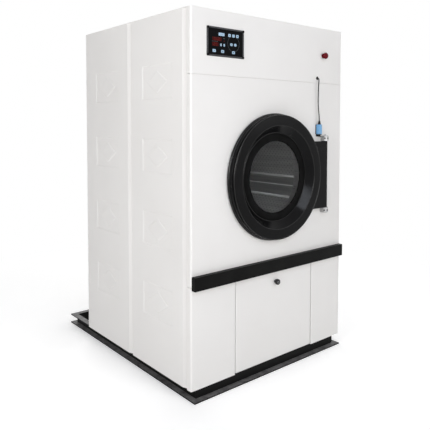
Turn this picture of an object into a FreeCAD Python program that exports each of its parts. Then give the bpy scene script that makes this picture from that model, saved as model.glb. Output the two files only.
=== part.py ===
import os
import math
import FreeCAD
import Part
from FreeCAD import Vector

# Industrial tumble dryer, millimetres. X runs to the machine's right as seen from the front,
# Y to the back and Z up. While modelling, y = 0 is the front face of the cabinet and z = 0 the floor.

# Cabinet
CABINET_WIDTH = 1250.0
CABINET_DEPTH = 1180.0
CABINET_TOP = 2080.0
SHEET = 1.5
FRONT_TRAY_DEPTH = 36.0
FRONT_BEND_RADIUS = 10.0
FOLD_RADIUS = 3.0
SIDE_BEVEL_LENGTH = 38.0
SIDE_BEVEL_DEPTH = 14.5
SIDE_FOLD_RADIUS = 8.0
SIDE_RETURN = 30.0
SIDE_SPLIT = 591.5
UPPER_PANEL_HEIGHT = 347.0
SEAM_GAP = 3.0
LOWER_SEAM_HEIGHT = 618.5

# Base of rolled channel
BASE_HEIGHT = 65.0
BASE_FLANGE = 40.0
BASE_WEB = 5.0
BASE_FLANGE_THICKNESS = 7.5
BASE_INSET = 12.0
BASE_FRONT_REACH = 15.0
BASE_TAIL = 310.0
CROSS_BEAM_WIDTH = 40.0
CROSS_BEAM_OFFSETS = (-320.0, -100.0, 20.0)

# Frame of square tube
TUBE = 40.0
TUBE_WALL = 3.0

# Pressed stiffening squares of the side panels
PRESSING_LEVELS = (462.0, 878.0, 1294.0, 1710.0)
PRESSING_WIDTH = 300.0
PRESSING_HEIGHT = 197.0
PRESSING_DEPTH = 3.0
PRESSING_SLOPE = 8.0
DIAMOND_RISE = 2.6
DIAMOND_REACH_Y = 104.0
DIAMOND_REACH_Z = 66.0
DIAMOND_CUT_Y = 98.0
DIAMOND_CUT_Z = 62.0

# Bumper bar
BUMPER_END_INSET = 5.0
BUMPER_DROP = 15.5
BUMPER_HEIGHT = 74.0
BUMPER_DEPTH = 29.0
BUMPER_END_RADIUS = 4.0
BUMPER_EDGE = 2.0
BUMPER_WALL = 3.0

# Round door
DOOR_X = -8.0
DOOR_HEIGHT = 1164.0
DOOR_RADIUS = 372.0
DOOR_FRONT_RADIUS = 367.0
DOOR_PROUD = 55.0
DOOR_BACK_GAP = 4.0
DOOR_WALL = 3.0
DOOR_EDGE_RADIUS = 8.0
DOOR_RIM_DEPTH = 12.0
DOOR_GROOVE_WIDTH = 3.0
DOOR_GROOVE_DEPTH = 3.5
FACE_INNER_RADIUS = 302.0
CONE_INNER_RADIUS = 258.0
CONE_BACK = 12.0
BACK_FLANGE_RADIUS = 325.0
LEDGE_RADIUS = 243.0
GLASS_RADIUS = 228.0
GLASS_THICKNESS = 6.0
GLASS_VIEW_RADIUS = 211.0
GLASS_SEAL_LIP = 4.0
DOOR_SEAL_WIDTH = 22.0
SEAL_CLEARANCE = 0.3

# Door hinge
HINGE_OFFSET = 445.0
HINGE_PROUD = 24.0
HINGE_DROP = 221.0
HINGE_HEIGHT = 424.0
HINGE_BARREL_RADIUS = 17.0
HINGE_BLOCK_EDGE = 5.0
HINGE_BACK_ROUND = 20.0
HINGE_TOP_CHAMFER = 4.0
HINGE_BOTTOM_CHAMFER = 11.0
HINGE_PIN_RADIUS = 7.0
HINGE_PIN_DEPTH = 45.0
HINGE_SIDE_GAP = 2.0
BRACKET_HALF_WIDTH = 20.0
BRACKET_HEIGHT = 32.0
BRACKET_FOOT = 48.0
BRACKET_FOOT_THICKNESS = 7.0
BRACKET_EDGE = 6.0
HINGE_SCREW_HEAD = 7.0
HINGE_SCREW_HEIGHT = 5.0
HINGE_SCREW_EDGE = 1.5
HINGE_SCREW_SIDE = 11.0
HINGE_SCREW_END = 10.0
RUNNING_CLEARANCE = 0.05
MAGNET_RADIUS = 12.0
MAGNET_ANGLES = (165.0, 195.0)

# Door opening and drum
THROAT_RADIUS = 306.0
THROAT_WALL = 3.0
THROAT_FLANGE = 34.0
THROAT_LENGTH = 118.0
DRUM_RADIUS = 540.0
DRUM_WALL = 1.5
DRUM_FRONT = 98.0
DRUM_BACK_OFFSET = 252.0
DRUM_MOUTH_RADIUS = 325.0
DRUM_PLATE = 3.0
DRUM_SEAL_GAP = 1.0
DRUM_SEAL_LENGTH = 9.0
DRUM_SEAL_WIDTH = 24.0
LIFTER_COUNT = 4
LIFTER_ANGLE = -14.0
LIFTER_BASE = 146.0
LIFTER_HEIGHT = 100.0
LIFTER_NOSE = 14.0
LIFTER_END_GAP = 25.0
SPIDER_ARM = 80.0
SPIDER_THICKNESS = 20.0
SPIDER_REACH = 510.0
HUB_RADIUS = 90.0
HUB_LENGTH = 60.0
SHAFT_RADIUS = 35.0
SHROUD_GAP = 16.0
SHROUD_WALL = 2.0
SHROUD_BACK_GAP = 30.0
SHROUD_HUB_GAP = 20.0

# Bearings and drive
BEARING_RADIUS = 62.5
BEARING_WIDTH = 24.0
HOUSING_WALL = 20.0
HOUSING_OFFSET = 170.0
HOUSING_LENGTH = 230.0
HOUSING_FLANGE = 420.0
HOUSING_FLANGE_THICKNESS = 16.0
HOUSING_CLEARANCE = 10.0
BEARING_BEAM = 60.0
BEARING_BEAM_OFFSET = 150.0
PULLEY_RADIUS = 280.0
PULLEY_WIDTH = 56.0
PULLEY_RIM = 26.0
PULLEY_HUB_RADIUS = 70.0
PULLEY_ARMS = 5
PULLEY_ARM_WIDTH = 46.0
PULLEY_ARM_THICKNESS = 24.0
BELT_OFFSET = 151.0
BELT_SPACING = 22.0
BELT_TOP = 16.0
BELT_BOTTOM = 10.0
BELT_THICKNESS = 11.0
BELT_GAP = 0.4
MOTOR_PULLEY_RADIUS = 70.0
MOTOR_X = 200.0
MOTOR_AXIS_RISE = 110.0
GEARBOX_WIDTH = 190.0
GEARBOX_OFFSET = 26.0
GEARBOX_DEPTH = 94.0
GEARBOX_HEIGHT = 220.0
GEARBOX_EDGE = 12.0
GEAR_SHAFT_RADIUS = 17.5
WORM_RISE = 75.0
MOTOR_RADIUS = 66.0
MOTOR_LENGTH = 250.0
MOTOR_RIBS = 16
MOTOR_RIB = 3.0
MOTOR_RIB_RISE = 4.0
MOTOR_PLATE = 8.0
MOTOR_PLATE_WIDTH = 340.0

# Air path
HEATER_HALF_WIDTH = 255.0
HEATER_FRONT = 195.0
HEATER_DEPTH = 410.0
HEATER_TUBE_RADIUS = 10.0
HEATER_TUBES = 8
HEATER_TUBE_DROP = 200.0
GRILLE_FRAME = 14.0
GRILLE_BARS = 14
GRILLE_BAR = 6.0
GRILLE_HEIGHT = 9.0
LINT_DUCT_FRONT = 155.0
LINT_DUCT_DEPTH = 590.0
LINT_DUCT_DROP = 180.5
LINT_DUCT_INSET = 3.0
LINT_LIP = 18.0
LINT_SCREEN_HEIGHT = 25.0
LINT_SCREEN_FRAME = 20.0
LINT_SCREEN_BARS = 9
LINT_SCREEN_BAR = 3.0
LINT_SCREEN_GAP = 1.0
LINT_MESH = 1.5
FAN_LEFT = -400.0
FAN_WIDTH = 190.0
FAN_OFFSET = 225.0
FAN_HEIGHT = 305.0
FAN_RADII = (175.0, 195.0, 215.0, 235.0)
FAN_WALL = 2.0
FAN_OUTLET = 190.0
FAN_INLET_RADIUS = 110.0
IMPELLER_RADIUS = 150.0
IMPELLER_WIDTH = 130.0
IMPELLER_BLADES = 12
IMPELLER_BLADE = 4.0
IMPELLER_HUB_RADIUS = 34.0
FAN_SHAFT_RADIUS = 14.0
FAN_MOTOR_RADIUS = 75.0
FAN_MOTOR_LENGTH = 165.0
FAN_FOOT = 24.0
SPIGOT_RADIUS = 90.0
SPIGOT_WALL = 2.0
SPIGOT_LENGTH = 95.0
SPIGOT_FLANGE = 230.0
SPIGOT_FLANGE_THICKNESS = 3.0

# Lint door
LINT_LEFT_MARGIN = 314.0
LINT_RIGHT_MARGIN = 290.0
LINT_DOOR_GAP = 3.0
LINT_TOP_DROP = 18.5
LINT_AXIS_DEPTH = 6.0
LINT_AXIS_RISE = 8.0
LINT_PIN_RADIUS = 3.0
LINT_PIN_LENGTH = 14.0
LOCK_X = 8.0
LOCK_DROP = 63.0
LOCK_RADIUS = 17.0
LOCK_PROUD = 26.0
LOCK_HEAD = 14.0
LOCK_EDGE = 3.0
LOCK_NECK_RADIUS = 11.0
LOCK_STEM_RADIUS = 6.0
CAM_LENGTH = 50.0
CAM_WIDTH = 18.0
CAM_THICKNESS = 4.0
CAM_GAP = 2.0
KEEPER_WIDTH = 80.0
KEEPER_HEIGHT = 28.0
KEEPER_THICKNESS = 3.0

# Controls
PANEL_MARGIN = 105.0
PANEL_WIDTH = 263.0
PANEL_DROP = 90.0
PANEL_HEIGHT = 156.0
BEZEL_FRAME = 9.0
BEZEL_PROUD = 6.0
BEZEL_EDGE = 5.0
OVERLAY_PROUD = 3.5
KEY_RISE = 0.8
CONTROL_BOX_DEPTH = 90.0
CONTROL_BOX_INSET = 6.0
STOP_MARGIN = 191.0
STOP_DROP = 172.0
STOP_RADIUS = 20.0
STOP_COLLAR_RADIUS = 15.0
STOP_COLLAR_PROUD = 9.0
STOP_CAP_BACK = 17.0
STOP_CAP_FRONT = 32.0
STOP_EDGE = 5.0
STOP_COLLAR_EDGE = 2.0
STOP_STEM_RADIUS = 8.0
STOP_STEM_LENGTH = 23.0
STOP_BODY_RADIUS = 11.0
STOP_BLOCK = 32.0
STOP_BLOCK_DEPTH = 46.0

# Door switch and its cable
SWITCH_OFFSET = 55.0
SWITCH_WIDTH = 32.0
SWITCH_RISE = 44.0
SWITCH_HEIGHT = 61.0
SWITCH_BASE_DEPTH = 7.0
SWITCH_COVER_DEPTH = 23.0
SWITCH_EDGE = 3.0
SWITCH_HEAD_WIDTH = 22.0
SWITCH_HEAD_HEIGHT = 15.0
SWITCH_HEAD_EDGE = 6.0
LEVER_LENGTH = 48.0
LEVER_THICKNESS = 3.0
LEVER_PIVOT_RADIUS = 4.0
LEVER_SHAFT_RADIUS = 2.5
LEVER_ROLLER_RADIUS = 4.5
LEVER_GAP = 1.0
GLAND_BOTTOM_RADIUS = 9.0
GLAND_TOP_RADIUS = 5.5
GLAND_HEIGHT = 24.0
CABLE_RADIUS = 3.5
CABLE_EXIT_OFFSET = -2.0
CABLE_EXIT_RISE = 31.0
GROMMET_RADIUS = 8.0
GROMMET_LIP = 3.0
GROMMET_GROOVE = 2.0

# Places that follow from the sizes above
HALF = CABINET_WIDTH / 2
SEAM_HEIGHT = CABINET_TOP - UPPER_PANEL_HEIGHT
BUMPER_WIDTH = CABINET_WIDTH - 2 * BUMPER_END_INSET
BUMPER_BOTTOM = LOWER_SEAM_HEIGHT - BUMPER_DROP
CROSS_BEAM_DEPTHS = [CABINET_DEPTH + offset for offset in CROSS_BEAM_OFFSETS]
HINGE_X = DOOR_X + HINGE_OFFSET
HINGE_BOTTOM = DOOR_HEIGHT - HINGE_DROP
HOUSING_FRONT = CABINET_DEPTH - HOUSING_OFFSET
BELT_PLANE = CABINET_DEPTH + BELT_OFFSET
GEARBOX_FRONT = CABINET_DEPTH + GEARBOX_OFFSET
MOTOR_AXIS_HEIGHT = BASE_HEIGHT + MOTOR_PLATE + MOTOR_AXIS_RISE
LINT_DOOR_TOP = LOWER_SEAM_HEIGHT - LINT_TOP_DROP
LINT_DUCT_BOTTOM = LOWER_SEAM_HEIGHT - LINT_DUCT_DROP
LOCK_HEIGHT = LINT_DOOR_TOP - LOCK_DROP
PANEL_LEFT = PANEL_MARGIN - HALF
PANEL_BOTTOM = CABINET_TOP - PANEL_DROP - PANEL_HEIGHT
STOP_X = HALF - STOP_MARGIN
STOP_HEIGHT = CABINET_TOP - STOP_DROP
SWITCH_X = HINGE_X - SWITCH_OFFSET
SWITCH_BOTTOM = HINGE_BOTTOM + HINGE_HEIGHT + SWITCH_RISE
CABLE_EXIT_X = SWITCH_X + CABLE_EXIT_OFFSET
CABLE_EXIT_HEIGHT = SEAM_HEIGHT + CABLE_EXIT_RISE
FAN_DEPTH = CABINET_DEPTH - FAN_OFFSET
HEATER_TUBE_HEIGHT = CABINET_TOP - HEATER_TUBE_DROP
BASE_HALF = HALF - BASE_INSET
BASE_REAR = CABINET_DEPTH + BASE_TAIL
FRAME_FRONT = FRONT_TRAY_DEPTH + SHEET
POST_OUTER = HALF - SIDE_BEVEL_DEPTH - SHEET
POST_INNER = POST_OUTER - TUBE
PANEL_TOP = CABINET_TOP - SHEET
SHROUD_RADIUS = DRUM_RADIUS + SHROUD_GAP
SHROUD_FRONT = FRONT_TRAY_DEPTH + TUBE
DRUM_BACK = CABINET_DEPTH - DRUM_BACK_OFFSET
DRUM_LENGTH = DRUM_BACK - DRUM_FRONT
LIFTER_LENGTH = DRUM_LENGTH - 2 * LIFTER_END_GAP
SHIFT_TO_CENTRE = Vector(0, -(BASE_REAR - DOOR_PROUD) / 2, 0)

os.makedirs("parts", exist_ok=True)


def save(name, *solids):
    moved = []
    for solid in solids:
        copy = solid.copy()
        copy.translate(SHIFT_TO_CENTRE)
        moved.append(copy)
    shape = moved[0] if len(moved) == 1 else Part.makeCompound(moved)
    shape.exportStep("parts/" + name + ".step")
    print(name, len(shape.Solids), "valid" if shape.isValid() else "NOT VALID")


def box(x0, x1, y0, y1, z0, z1):
    return Part.makeBox(x1 - x0, y1 - y0, z1 - z0, Vector(x0, y0, z0))


def rod(radius, start, axis, length):
    return Part.makeCylinder(radius, length, Vector(*start), Vector(*axis))


def ring(outer, inner, start, axis, length):
    return rod(outer, start, axis, length).cut(rod(inner, start, axis, length))


def prism(points, direction):
    corners = [Vector(*p) for p in points]
    return Part.Face(Part.makePolygon(corners + [corners[0]])).extrude(Vector(*direction))


def turned(profile, x, z):
    # profile of radius and distance in front of the cabinet face, turned about the Y axis at x, z
    points = [Vector(x + radius, -proud, z) for radius, proud in profile]
    face = Part.Face(Part.makePolygon(points + [points[0]]))
    return face.revolve(Vector(x, 0, z), Vector(0, 1, 0), 360)


def mirrored(shape):
    return shape.mirror(Vector(0, 0, 0), Vector(1, 0, 0))


def edges_along(shape, axis, test):
    found = []
    for edge in shape.Edges:
        ends = [v.Point for v in edge.Vertexes]
        if len(ends) == 2 and (ends[1] - ends[0]).cross(axis).Length < 1e-6:
            if test(edge.CenterOfMass):
                found.append(edge)
    return found


def bend(block, x, front, radius):
    edges = edges_along(block, Vector(0, 0, 1), lambda c: abs(c.x - x) < 1e-6 and abs(c.y - front) < 1e-6)
    return block.makeFillet(radius, edges)


def tray(x0, x1, z0, z1, front, depth, radii, wall):
    # folded sheet: a face at the front with four sides that run back, and a bend radius at each end
    left, right = radii
    block = box(x0, x1, front, front + depth, z0, z1)
    block = bend(bend(block, x0, front, left), x1, front, right)
    core = box(x0 + wall, x1 - wall, front + wall, front + depth, z0 + wall, z1 - wall)
    core = bend(bend(core, x0 + wall, front + wall, left - wall), x1 - wall, front + wall, right - wall)
    return block.cut(core)


def square_tube(x0, x1, y0, y1, z0, z1, along):
    w = TUBE_WALL
    core = {
        "x": (x0, x1, y0 + w, y1 - w, z0 + w, z1 - w),
        "y": (x0 + w, x1 - w, y0, y1, z0 + w, z1 - w),
        "z": (x0 + w, x1 - w, y0 + w, y1 - w, z0, z1),
    }
    return box(x0, x1, y0, y1, z0, z1).cut(box(*core[along]))


# Base: mitred channel frame with its flanges outward
def channel_void(x0, x1, y0, y1):
    return box(x0, x1, y0, y1, BASE_FLANGE_THICKNESS, BASE_HEIGHT - BASE_FLANGE_THICKNESS)


def end_beam(y_outer, inward):
    y_inner = y_outer + inward * BASE_FLANGE
    y_web = y_inner - inward * BASE_WEB
    plan = [(-BASE_HALF, y_outer, 0), (BASE_HALF, y_outer, 0),
            (BASE_HALF - BASE_FLANGE, y_inner, 0), (BASE_FLANGE - BASE_HALF, y_inner, 0)]
    void = channel_void(-BASE_HALF, BASE_HALF, min(y_outer, y_web), max(y_outer, y_web))
    return prism(plan, (0, 0, BASE_HEIGHT)).cut(void)


def side_beam():
    x_inner = BASE_FLANGE - BASE_HALF
    plan = [(-BASE_HALF, -BASE_FRONT_REACH, 0), (-BASE_HALF, BASE_REAR, 0),
            (x_inner, BASE_REAR - BASE_FLANGE, 0), (x_inner, BASE_FLANGE - BASE_FRONT_REACH, 0)]
    void = channel_void(-BASE_HALF, x_inner - BASE_WEB, -BASE_FRONT_REACH, BASE_REAR)
    return prism(plan, (0, 0, BASE_HEIGHT)).cut(void)


toe_clearance = box(-BASE_HALF, BASE_HALF, -BASE_FRONT_REACH, BASE_INSET,
                    BASE_HEIGHT - BASE_FLANGE_THICKNESS, BASE_HEIGHT)
left_beam = side_beam().cut(toe_clearance)
save("base_frame", end_beam(-BASE_FRONT_REACH, 1).cut(toe_clearance), end_beam(BASE_REAR, -1), left_beam,
     mirrored(left_beam))
cross_half = BASE_HALF - BASE_FLANGE
cross_beams = [
    square_tube(-cross_half, cross_half, y - CROSS_BEAM_WIDTH / 2, y + CROSS_BEAM_WIDTH / 2,
                0, BASE_HEIGHT, "x")
    for y in CROSS_BEAM_DEPTHS
]
plate_top = BASE_HEIGHT + MOTOR_PLATE
plate_front_edge = CROSS_BEAM_DEPTHS[2] - CROSS_BEAM_WIDTH / 2
motor_plate = box(MOTOR_X - MOTOR_PLATE_WIDTH / 2, MOTOR_X + MOTOR_PLATE_WIDTH / 2, plate_front_edge,
                  BASE_REAR, BASE_HEIGHT, plate_top)
save("base_cross_members", *cross_beams, motor_plate)

# Frame of posts and rails
post_depths = (FRAME_FRONT, SIDE_SPLIT + SHEET, CABINET_DEPTH - SHEET - TUBE)
posts = []
for y in post_depths:
    left = square_tube(-POST_OUTER, -POST_INNER, y, y + TUBE, BASE_HEIGHT, PANEL_TOP, "z")
    posts += [left, mirrored(left)]
save("frame_posts", *posts)

rail_bottoms = (LOWER_SEAM_HEIGHT - TUBE / 2, SEAM_HEIGHT - TUBE / 2, PANEL_TOP - TUBE)
rails = [square_tube(-POST_INNER, POST_INNER, FRONT_TRAY_DEPTH, SHROUD_FRONT, z, z + TUBE, "x")
         for z in rail_bottoms]
keeper_top = rail_bottoms[0]
keeper = box(LOCK_X - KEEPER_WIDTH / 2, LOCK_X + KEEPER_WIDTH / 2, FRONT_TRAY_DEPTH,
             FRONT_TRAY_DEPTH + KEEPER_THICKNESS, keeper_top - KEEPER_HEIGHT, keeper_top + TUBE_WALL)
rails[0] = rails[0].fuse(keeper).removeSplitter()
rails.append(square_tube(-POST_INNER, POST_INNER, post_depths[2], post_depths[2] + TUBE,
                         PANEL_TOP - TUBE, PANEL_TOP, "x"))
rail_runs = [(post_depths[0] + TUBE, SIDE_SPLIT - SHEET), (post_depths[1] + TUBE, post_depths[2])]
for y0, y1 in rail_runs:
    left = square_tube(-POST_OUTER, -POST_INNER, y0, y1, PANEL_TOP - TUBE, PANEL_TOP, "y")
    rails += [left, mirrored(left)]
beam_back = CABINET_DEPTH - SHEET
beam_front = beam_back - BEARING_BEAM
for side in (-1, 1):
    z = DOOR_HEIGHT + side * BEARING_BEAM_OFFSET
    rails.append(square_tube(-POST_INNER, POST_INNER, beam_front, beam_back, z - BEARING_BEAM / 2,
                             z + BEARING_BEAM / 2, "x"))
save("frame_rails", *rails)


# Side panels: folded sheet with returns at both edges and pressed squares
def rectangle_at(x, y, z, half_y, half_z):
    return [Vector(x, y - half_y, z - half_z), Vector(x, y + half_y, z - half_z),
            Vector(x, y + half_y, z + half_z), Vector(x, y - half_y, z + half_z)]


def diamond_at(x, y, z, grow):
    # square on its point with the four points cut off
    slope = DIAMOND_REACH_Z / DIAMOND_REACH_Y
    cut_y = DIAMOND_CUT_Y + grow
    cut_z = DIAMOND_CUT_Z + grow
    side_z = (DIAMOND_REACH_Y + grow - cut_y) * slope
    side_y = (DIAMOND_REACH_Z + grow - cut_z) / slope
    corners = [(cut_y, -side_z), (cut_y, side_z), (side_y, cut_z), (-side_y, cut_z),
               (-cut_y, side_z), (-cut_y, -side_z), (-side_y, -cut_z), (side_y, -cut_z)]
    return [Vector(x, y + dy, z + dz) for dy, dz in corners]


def loft(first, second):
    wires = [Part.makePolygon(points + [points[0]]) for points in (first, second)]
    return Part.makeLoft(wires, True, True)


def pressing_tool(face_x, y, z):
    # the hollow pressed into the sheet, less the diamond that stands up in it
    floor_x = face_x + PRESSING_DEPTH
    half_y = PRESSING_WIDTH / 2
    half_z = PRESSING_HEIGHT / 2
    hollow = loft(rectangle_at(face_x, y, z, half_y, half_z),
                  rectangle_at(floor_x, y, z, half_y - PRESSING_SLOPE, half_z - PRESSING_SLOPE))
    diamond = loft(diamond_at(floor_x, y, z, 0),
                   diamond_at(floor_x - DIAMOND_RISE, y, z, -PRESSING_SLOPE))
    return hollow.cut(diamond)


def side_block(y0, y1, inset):
    # a side panel's plan drawn in by the inset, with a long bevel at the front edge and a fold at the rear
    bevel = math.atan2(SIDE_BEVEL_DEPTH, SIDE_BEVEL_LENGTH)
    bevel_start = SIDE_BEVEL_DEPTH + inset * math.tan(math.pi / 4 - bevel / 2) - HALF
    bevel_end = y0 + SIDE_BEVEL_LENGTH + inset * math.tan(bevel / 2)
    plan = [(SIDE_RETURN - HALF, y0 + inset), (bevel_start, y0 + inset), (inset - HALF, bevel_end),
            (inset - HALF, y1 - inset), (SIDE_RETURN - HALF, y1 - inset)]
    block = prism([(x, y, BASE_HEIGHT) for x, y in plan], (0, 0, PANEL_TOP - BASE_HEIGHT))
    return bend(block, inset - HALF, y1 - inset, SIDE_FOLD_RADIUS - inset)


def side_panel(y0, y1):
    outer = side_block(y0, y1, 0)
    inner = side_block(y0, y1, SHEET)
    y = (y0 + y1) / 2
    for z in PRESSING_LEVELS:
        inner = inner.cut(pressing_tool(SHEET - HALF, y, z))
    panel = outer.cut(inner)
    for z in PRESSING_LEVELS:
        panel = panel.cut(pressing_tool(-HALF, y, z))
    return panel


front_side = side_panel(FRONT_TRAY_DEPTH, SIDE_SPLIT)
rear_side = side_panel(SIDE_SPLIT, CABINET_DEPTH)
save("left_front_side_panel", front_side)
save("left_rear_side_panel", rear_side)
save("right_front_side_panel", mirrored(front_side))
save("right_rear_side_panel", mirrored(rear_side))

# Front panels
stop_hole = rod(STOP_BODY_RADIUS, (STOP_X, 0, STOP_HEIGHT), (0, 1, 0), SHEET)
cable_hole = rod(GROMMET_RADIUS, (CABLE_EXIT_X, 0, CABLE_EXIT_HEIGHT), (0, 1, 0), SHEET)
outer_bends = (FRONT_BEND_RADIUS, FRONT_BEND_RADIUS)
upper_panel = tray(-HALF, HALF, SEAM_HEIGHT + SEAM_GAP / 2, CABINET_TOP, 0, FRONT_TRAY_DEPTH,
                   outer_bends, SHEET)
save("upper_front_panel", upper_panel.cut(stop_hole).cut(cable_hole))

door_panel = tray(-HALF, HALF, LOWER_SEAM_HEIGHT + SEAM_GAP / 2, SEAM_HEIGHT - SEAM_GAP / 2, 0,
                  FRONT_TRAY_DEPTH, outer_bends, SHEET)
save("door_panel", door_panel.cut(rod(THROAT_RADIUS, (DOOR_X, 0, DOOR_HEIGHT), (0, 1, 0), SHEET)))

lint_left = LINT_LEFT_MARGIN - HALF
lint_right = HALF - LINT_RIGHT_MARGIN
lint_bottom = BASE_HEIGHT + LINT_DOOR_GAP
lint_axis_height = lint_bottom + LINT_AXIS_RISE
lower_top = LOWER_SEAM_HEIGHT - SEAM_GAP / 2
pin_bore = rod(LINT_PIN_RADIUS + RUNNING_CLEARANCE, (-HALF, LINT_AXIS_DEPTH, lint_axis_height),
               (1, 0, 0), CABINET_WIDTH)
bore_zone = box(lint_left - LINT_DOOR_GAP - 2 * SHEET, lint_right + LINT_DOOR_GAP + 2 * SHEET,
                0, FRONT_TRAY_DEPTH, BASE_HEIGHT, lower_top)
pin_bore = pin_bore.common(bore_zone)
lower_left = tray(-HALF, lint_left - LINT_DOOR_GAP, BASE_HEIGHT, lower_top, 0, FRONT_TRAY_DEPTH,
                  (FRONT_BEND_RADIUS, FOLD_RADIUS), SHEET)
lower_right = tray(lint_right + LINT_DOOR_GAP, HALF, BASE_HEIGHT, lower_top, 0, FRONT_TRAY_DEPTH,
                   (FOLD_RADIUS, FRONT_BEND_RADIUS), SHEET)
save("lower_front_panels", lower_left.cut(pin_bore), lower_right.cut(pin_bore))

bumper = tray(-BUMPER_WIDTH / 2, BUMPER_WIDTH / 2, BUMPER_BOTTOM, BUMPER_BOTTOM + BUMPER_HEIGHT,
              -BUMPER_DEPTH, BUMPER_DEPTH, (BUMPER_END_RADIUS, BUMPER_END_RADIUS), BUMPER_WALL)
long_edges = edges_along(bumper, Vector(1, 0, 0), lambda c: c.y < 1e-6 - BUMPER_DEPTH)
save("bumper_bar", bumper.makeFillet(BUMPER_EDGE, long_edges))

# Top, grille and back
heater_left = DOOR_X - HEATER_HALF_WIDTH
heater_right = DOOR_X + HEATER_HALF_WIDTH
heater_back = HEATER_FRONT + HEATER_DEPTH
grille_hole = box(heater_left + SHEET, heater_right - SHEET, HEATER_FRONT + SHEET, heater_back - SHEET,
                  PANEL_TOP, CABINET_TOP)
save("top_panel", box(-HALF, HALF, FRONT_TRAY_DEPTH, CABINET_DEPTH, PANEL_TOP, CABINET_TOP).cut(grille_hole))

grille_bottom = CABINET_TOP - GRILLE_HEIGHT
grille_box = (heater_left + SHEET, heater_right - SHEET, HEATER_FRONT + SHEET, heater_back - SHEET)
grille = box(*grille_box, grille_bottom, CABINET_TOP)
grille = grille.cut(box(grille_box[0] + GRILLE_FRAME, grille_box[1] - GRILLE_FRAME,
                        grille_box[2] + GRILLE_FRAME, grille_box[3] - GRILLE_FRAME,
                        grille_bottom, CABINET_TOP))
bar_pitch = (grille_box[3] - grille_box[2] - 2 * GRILLE_FRAME) / (GRILLE_BARS + 1)
bars = []
for i in range(GRILLE_BARS):
    y = grille_box[2] + GRILLE_FRAME + bar_pitch * (i + 1)
    bars.append(box(grille_box[0] + SHEET, grille_box[1] - SHEET, y - GRILLE_BAR / 2, y + GRILLE_BAR / 2,
                    grille_bottom, CABINET_TOP - SHEET))
save("inlet_grille", grille.multiFuse(bars).removeSplitter())

housing_radius = BEARING_RADIUS + HOUSING_WALL
outlet_bottom = FAN_HEIGHT + FAN_RADII[3] - FAN_OUTLET
outlet_height = outlet_bottom + FAN_OUTLET / 2
outlet_x = FAN_LEFT + FAN_WIDTH / 2
rear = box(SIDE_RETURN - HALF, HALF - SIDE_RETURN, CABINET_DEPTH - SHEET, CABINET_DEPTH,
           BASE_HEIGHT, PANEL_TOP)
rear = rear.cut(rod(housing_radius + HOUSING_CLEARANCE, (DOOR_X, CABINET_DEPTH - SHEET, DOOR_HEIGHT),
                    (0, 1, 0), SHEET))
rear = rear.cut(rod(SPIGOT_RADIUS, (outlet_x, CABINET_DEPTH - SHEET, outlet_height), (0, 1, 0), SHEET))
save("rear_panel", rear)

# Door: pressed ring with a stepped wall and a cone down to the glass
rim_front = DOOR_BACK_GAP + DOOR_RIM_DEPTH
groove_radius = DOOR_FRONT_RADIUS - DOOR_GROOVE_DEPTH
groove_back = rim_front + DOOR_GROOVE_DEPTH
groove_front = groove_back + DOOR_GROOVE_WIDTH
wall_radius = groove_radius - DOOR_WALL
cone_run = FACE_INNER_RADIUS - CONE_INNER_RADIUS
cone_drop = DOOR_PROUD - CONE_BACK
cone_shift = DOOR_WALL * math.hypot(cone_run, cone_drop) / cone_drop
back_face = DOOR_BACK_GAP + DOOR_WALL
ledge_back = CONE_BACK - DOOR_WALL
cone_inside = CONE_INNER_RADIUS + cone_shift
face_inside = FACE_INNER_RADIUS + cone_shift
cone_slope = cone_run / cone_drop
edge_steps = 5
edge_arc = []
for i in range(edge_steps + 1):
    angle = math.radians(90.0 * i / edge_steps)
    edge_arc.append((DOOR_FRONT_RADIUS - DOOR_EDGE_RADIUS * (1 - math.cos(angle)),
                     DOOR_PROUD - DOOR_EDGE_RADIUS * (1 - math.sin(angle))))
ring_profile = [
    (BACK_FLANGE_RADIUS, DOOR_BACK_GAP), (DOOR_RADIUS, DOOR_BACK_GAP), (DOOR_RADIUS, rim_front),
    (groove_radius, groove_back), (groove_radius, groove_front),
    (DOOR_FRONT_RADIUS, groove_front + DOOR_GROOVE_DEPTH),
] + edge_arc + [
    (FACE_INNER_RADIUS, DOOR_PROUD), (CONE_INNER_RADIUS, CONE_BACK), (LEDGE_RADIUS, CONE_BACK),
    (LEDGE_RADIUS, ledge_back), (cone_inside - cone_slope * DOOR_WALL, ledge_back),
    (face_inside - cone_slope * DOOR_WALL, DOOR_PROUD - DOOR_WALL),
    (wall_radius - DOOR_EDGE_RADIUS + DOOR_WALL, DOOR_PROUD - DOOR_WALL),
    (wall_radius, DOOR_PROUD - DOOR_EDGE_RADIUS), (wall_radius, back_face), (BACK_FLANGE_RADIUS, back_face),
]
save("door_ring", turned(ring_profile, DOOR_X, DOOR_HEIGHT))

glass_front = (ledge_back + CONE_BACK + GLASS_THICKNESS) / 2
glass_back = glass_front - GLASS_THICKNESS
save("door_glass", rod(GLASS_RADIUS, (DOOR_X, -glass_back, DOOR_HEIGHT), (0, -1, 0), GLASS_THICKNESS))

seal_outer = CONE_INNER_RADIUS - SHEET
seal_front = glass_front + GLASS_SEAL_LIP
seal_back = glass_back - GLASS_SEAL_LIP
seal_profile = [
    (GLASS_VIEW_RADIUS, glass_front), (GLASS_VIEW_RADIUS + GLASS_SEAL_LIP, seal_front),
    (seal_outer - GLASS_SEAL_LIP, seal_front), (seal_outer, CONE_BACK), (LEDGE_RADIUS, CONE_BACK),
    (LEDGE_RADIUS, ledge_back), (seal_outer, ledge_back), (seal_outer - GLASS_SEAL_LIP, seal_back),
    (GLASS_VIEW_RADIUS + GLASS_SEAL_LIP, seal_back), (GLASS_VIEW_RADIUS, glass_back),
    (GLASS_RADIUS, glass_back), (GLASS_RADIUS, glass_front),
]
save("glass_seal", turned(seal_profile, DOOR_X, DOOR_HEIGHT))

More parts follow.
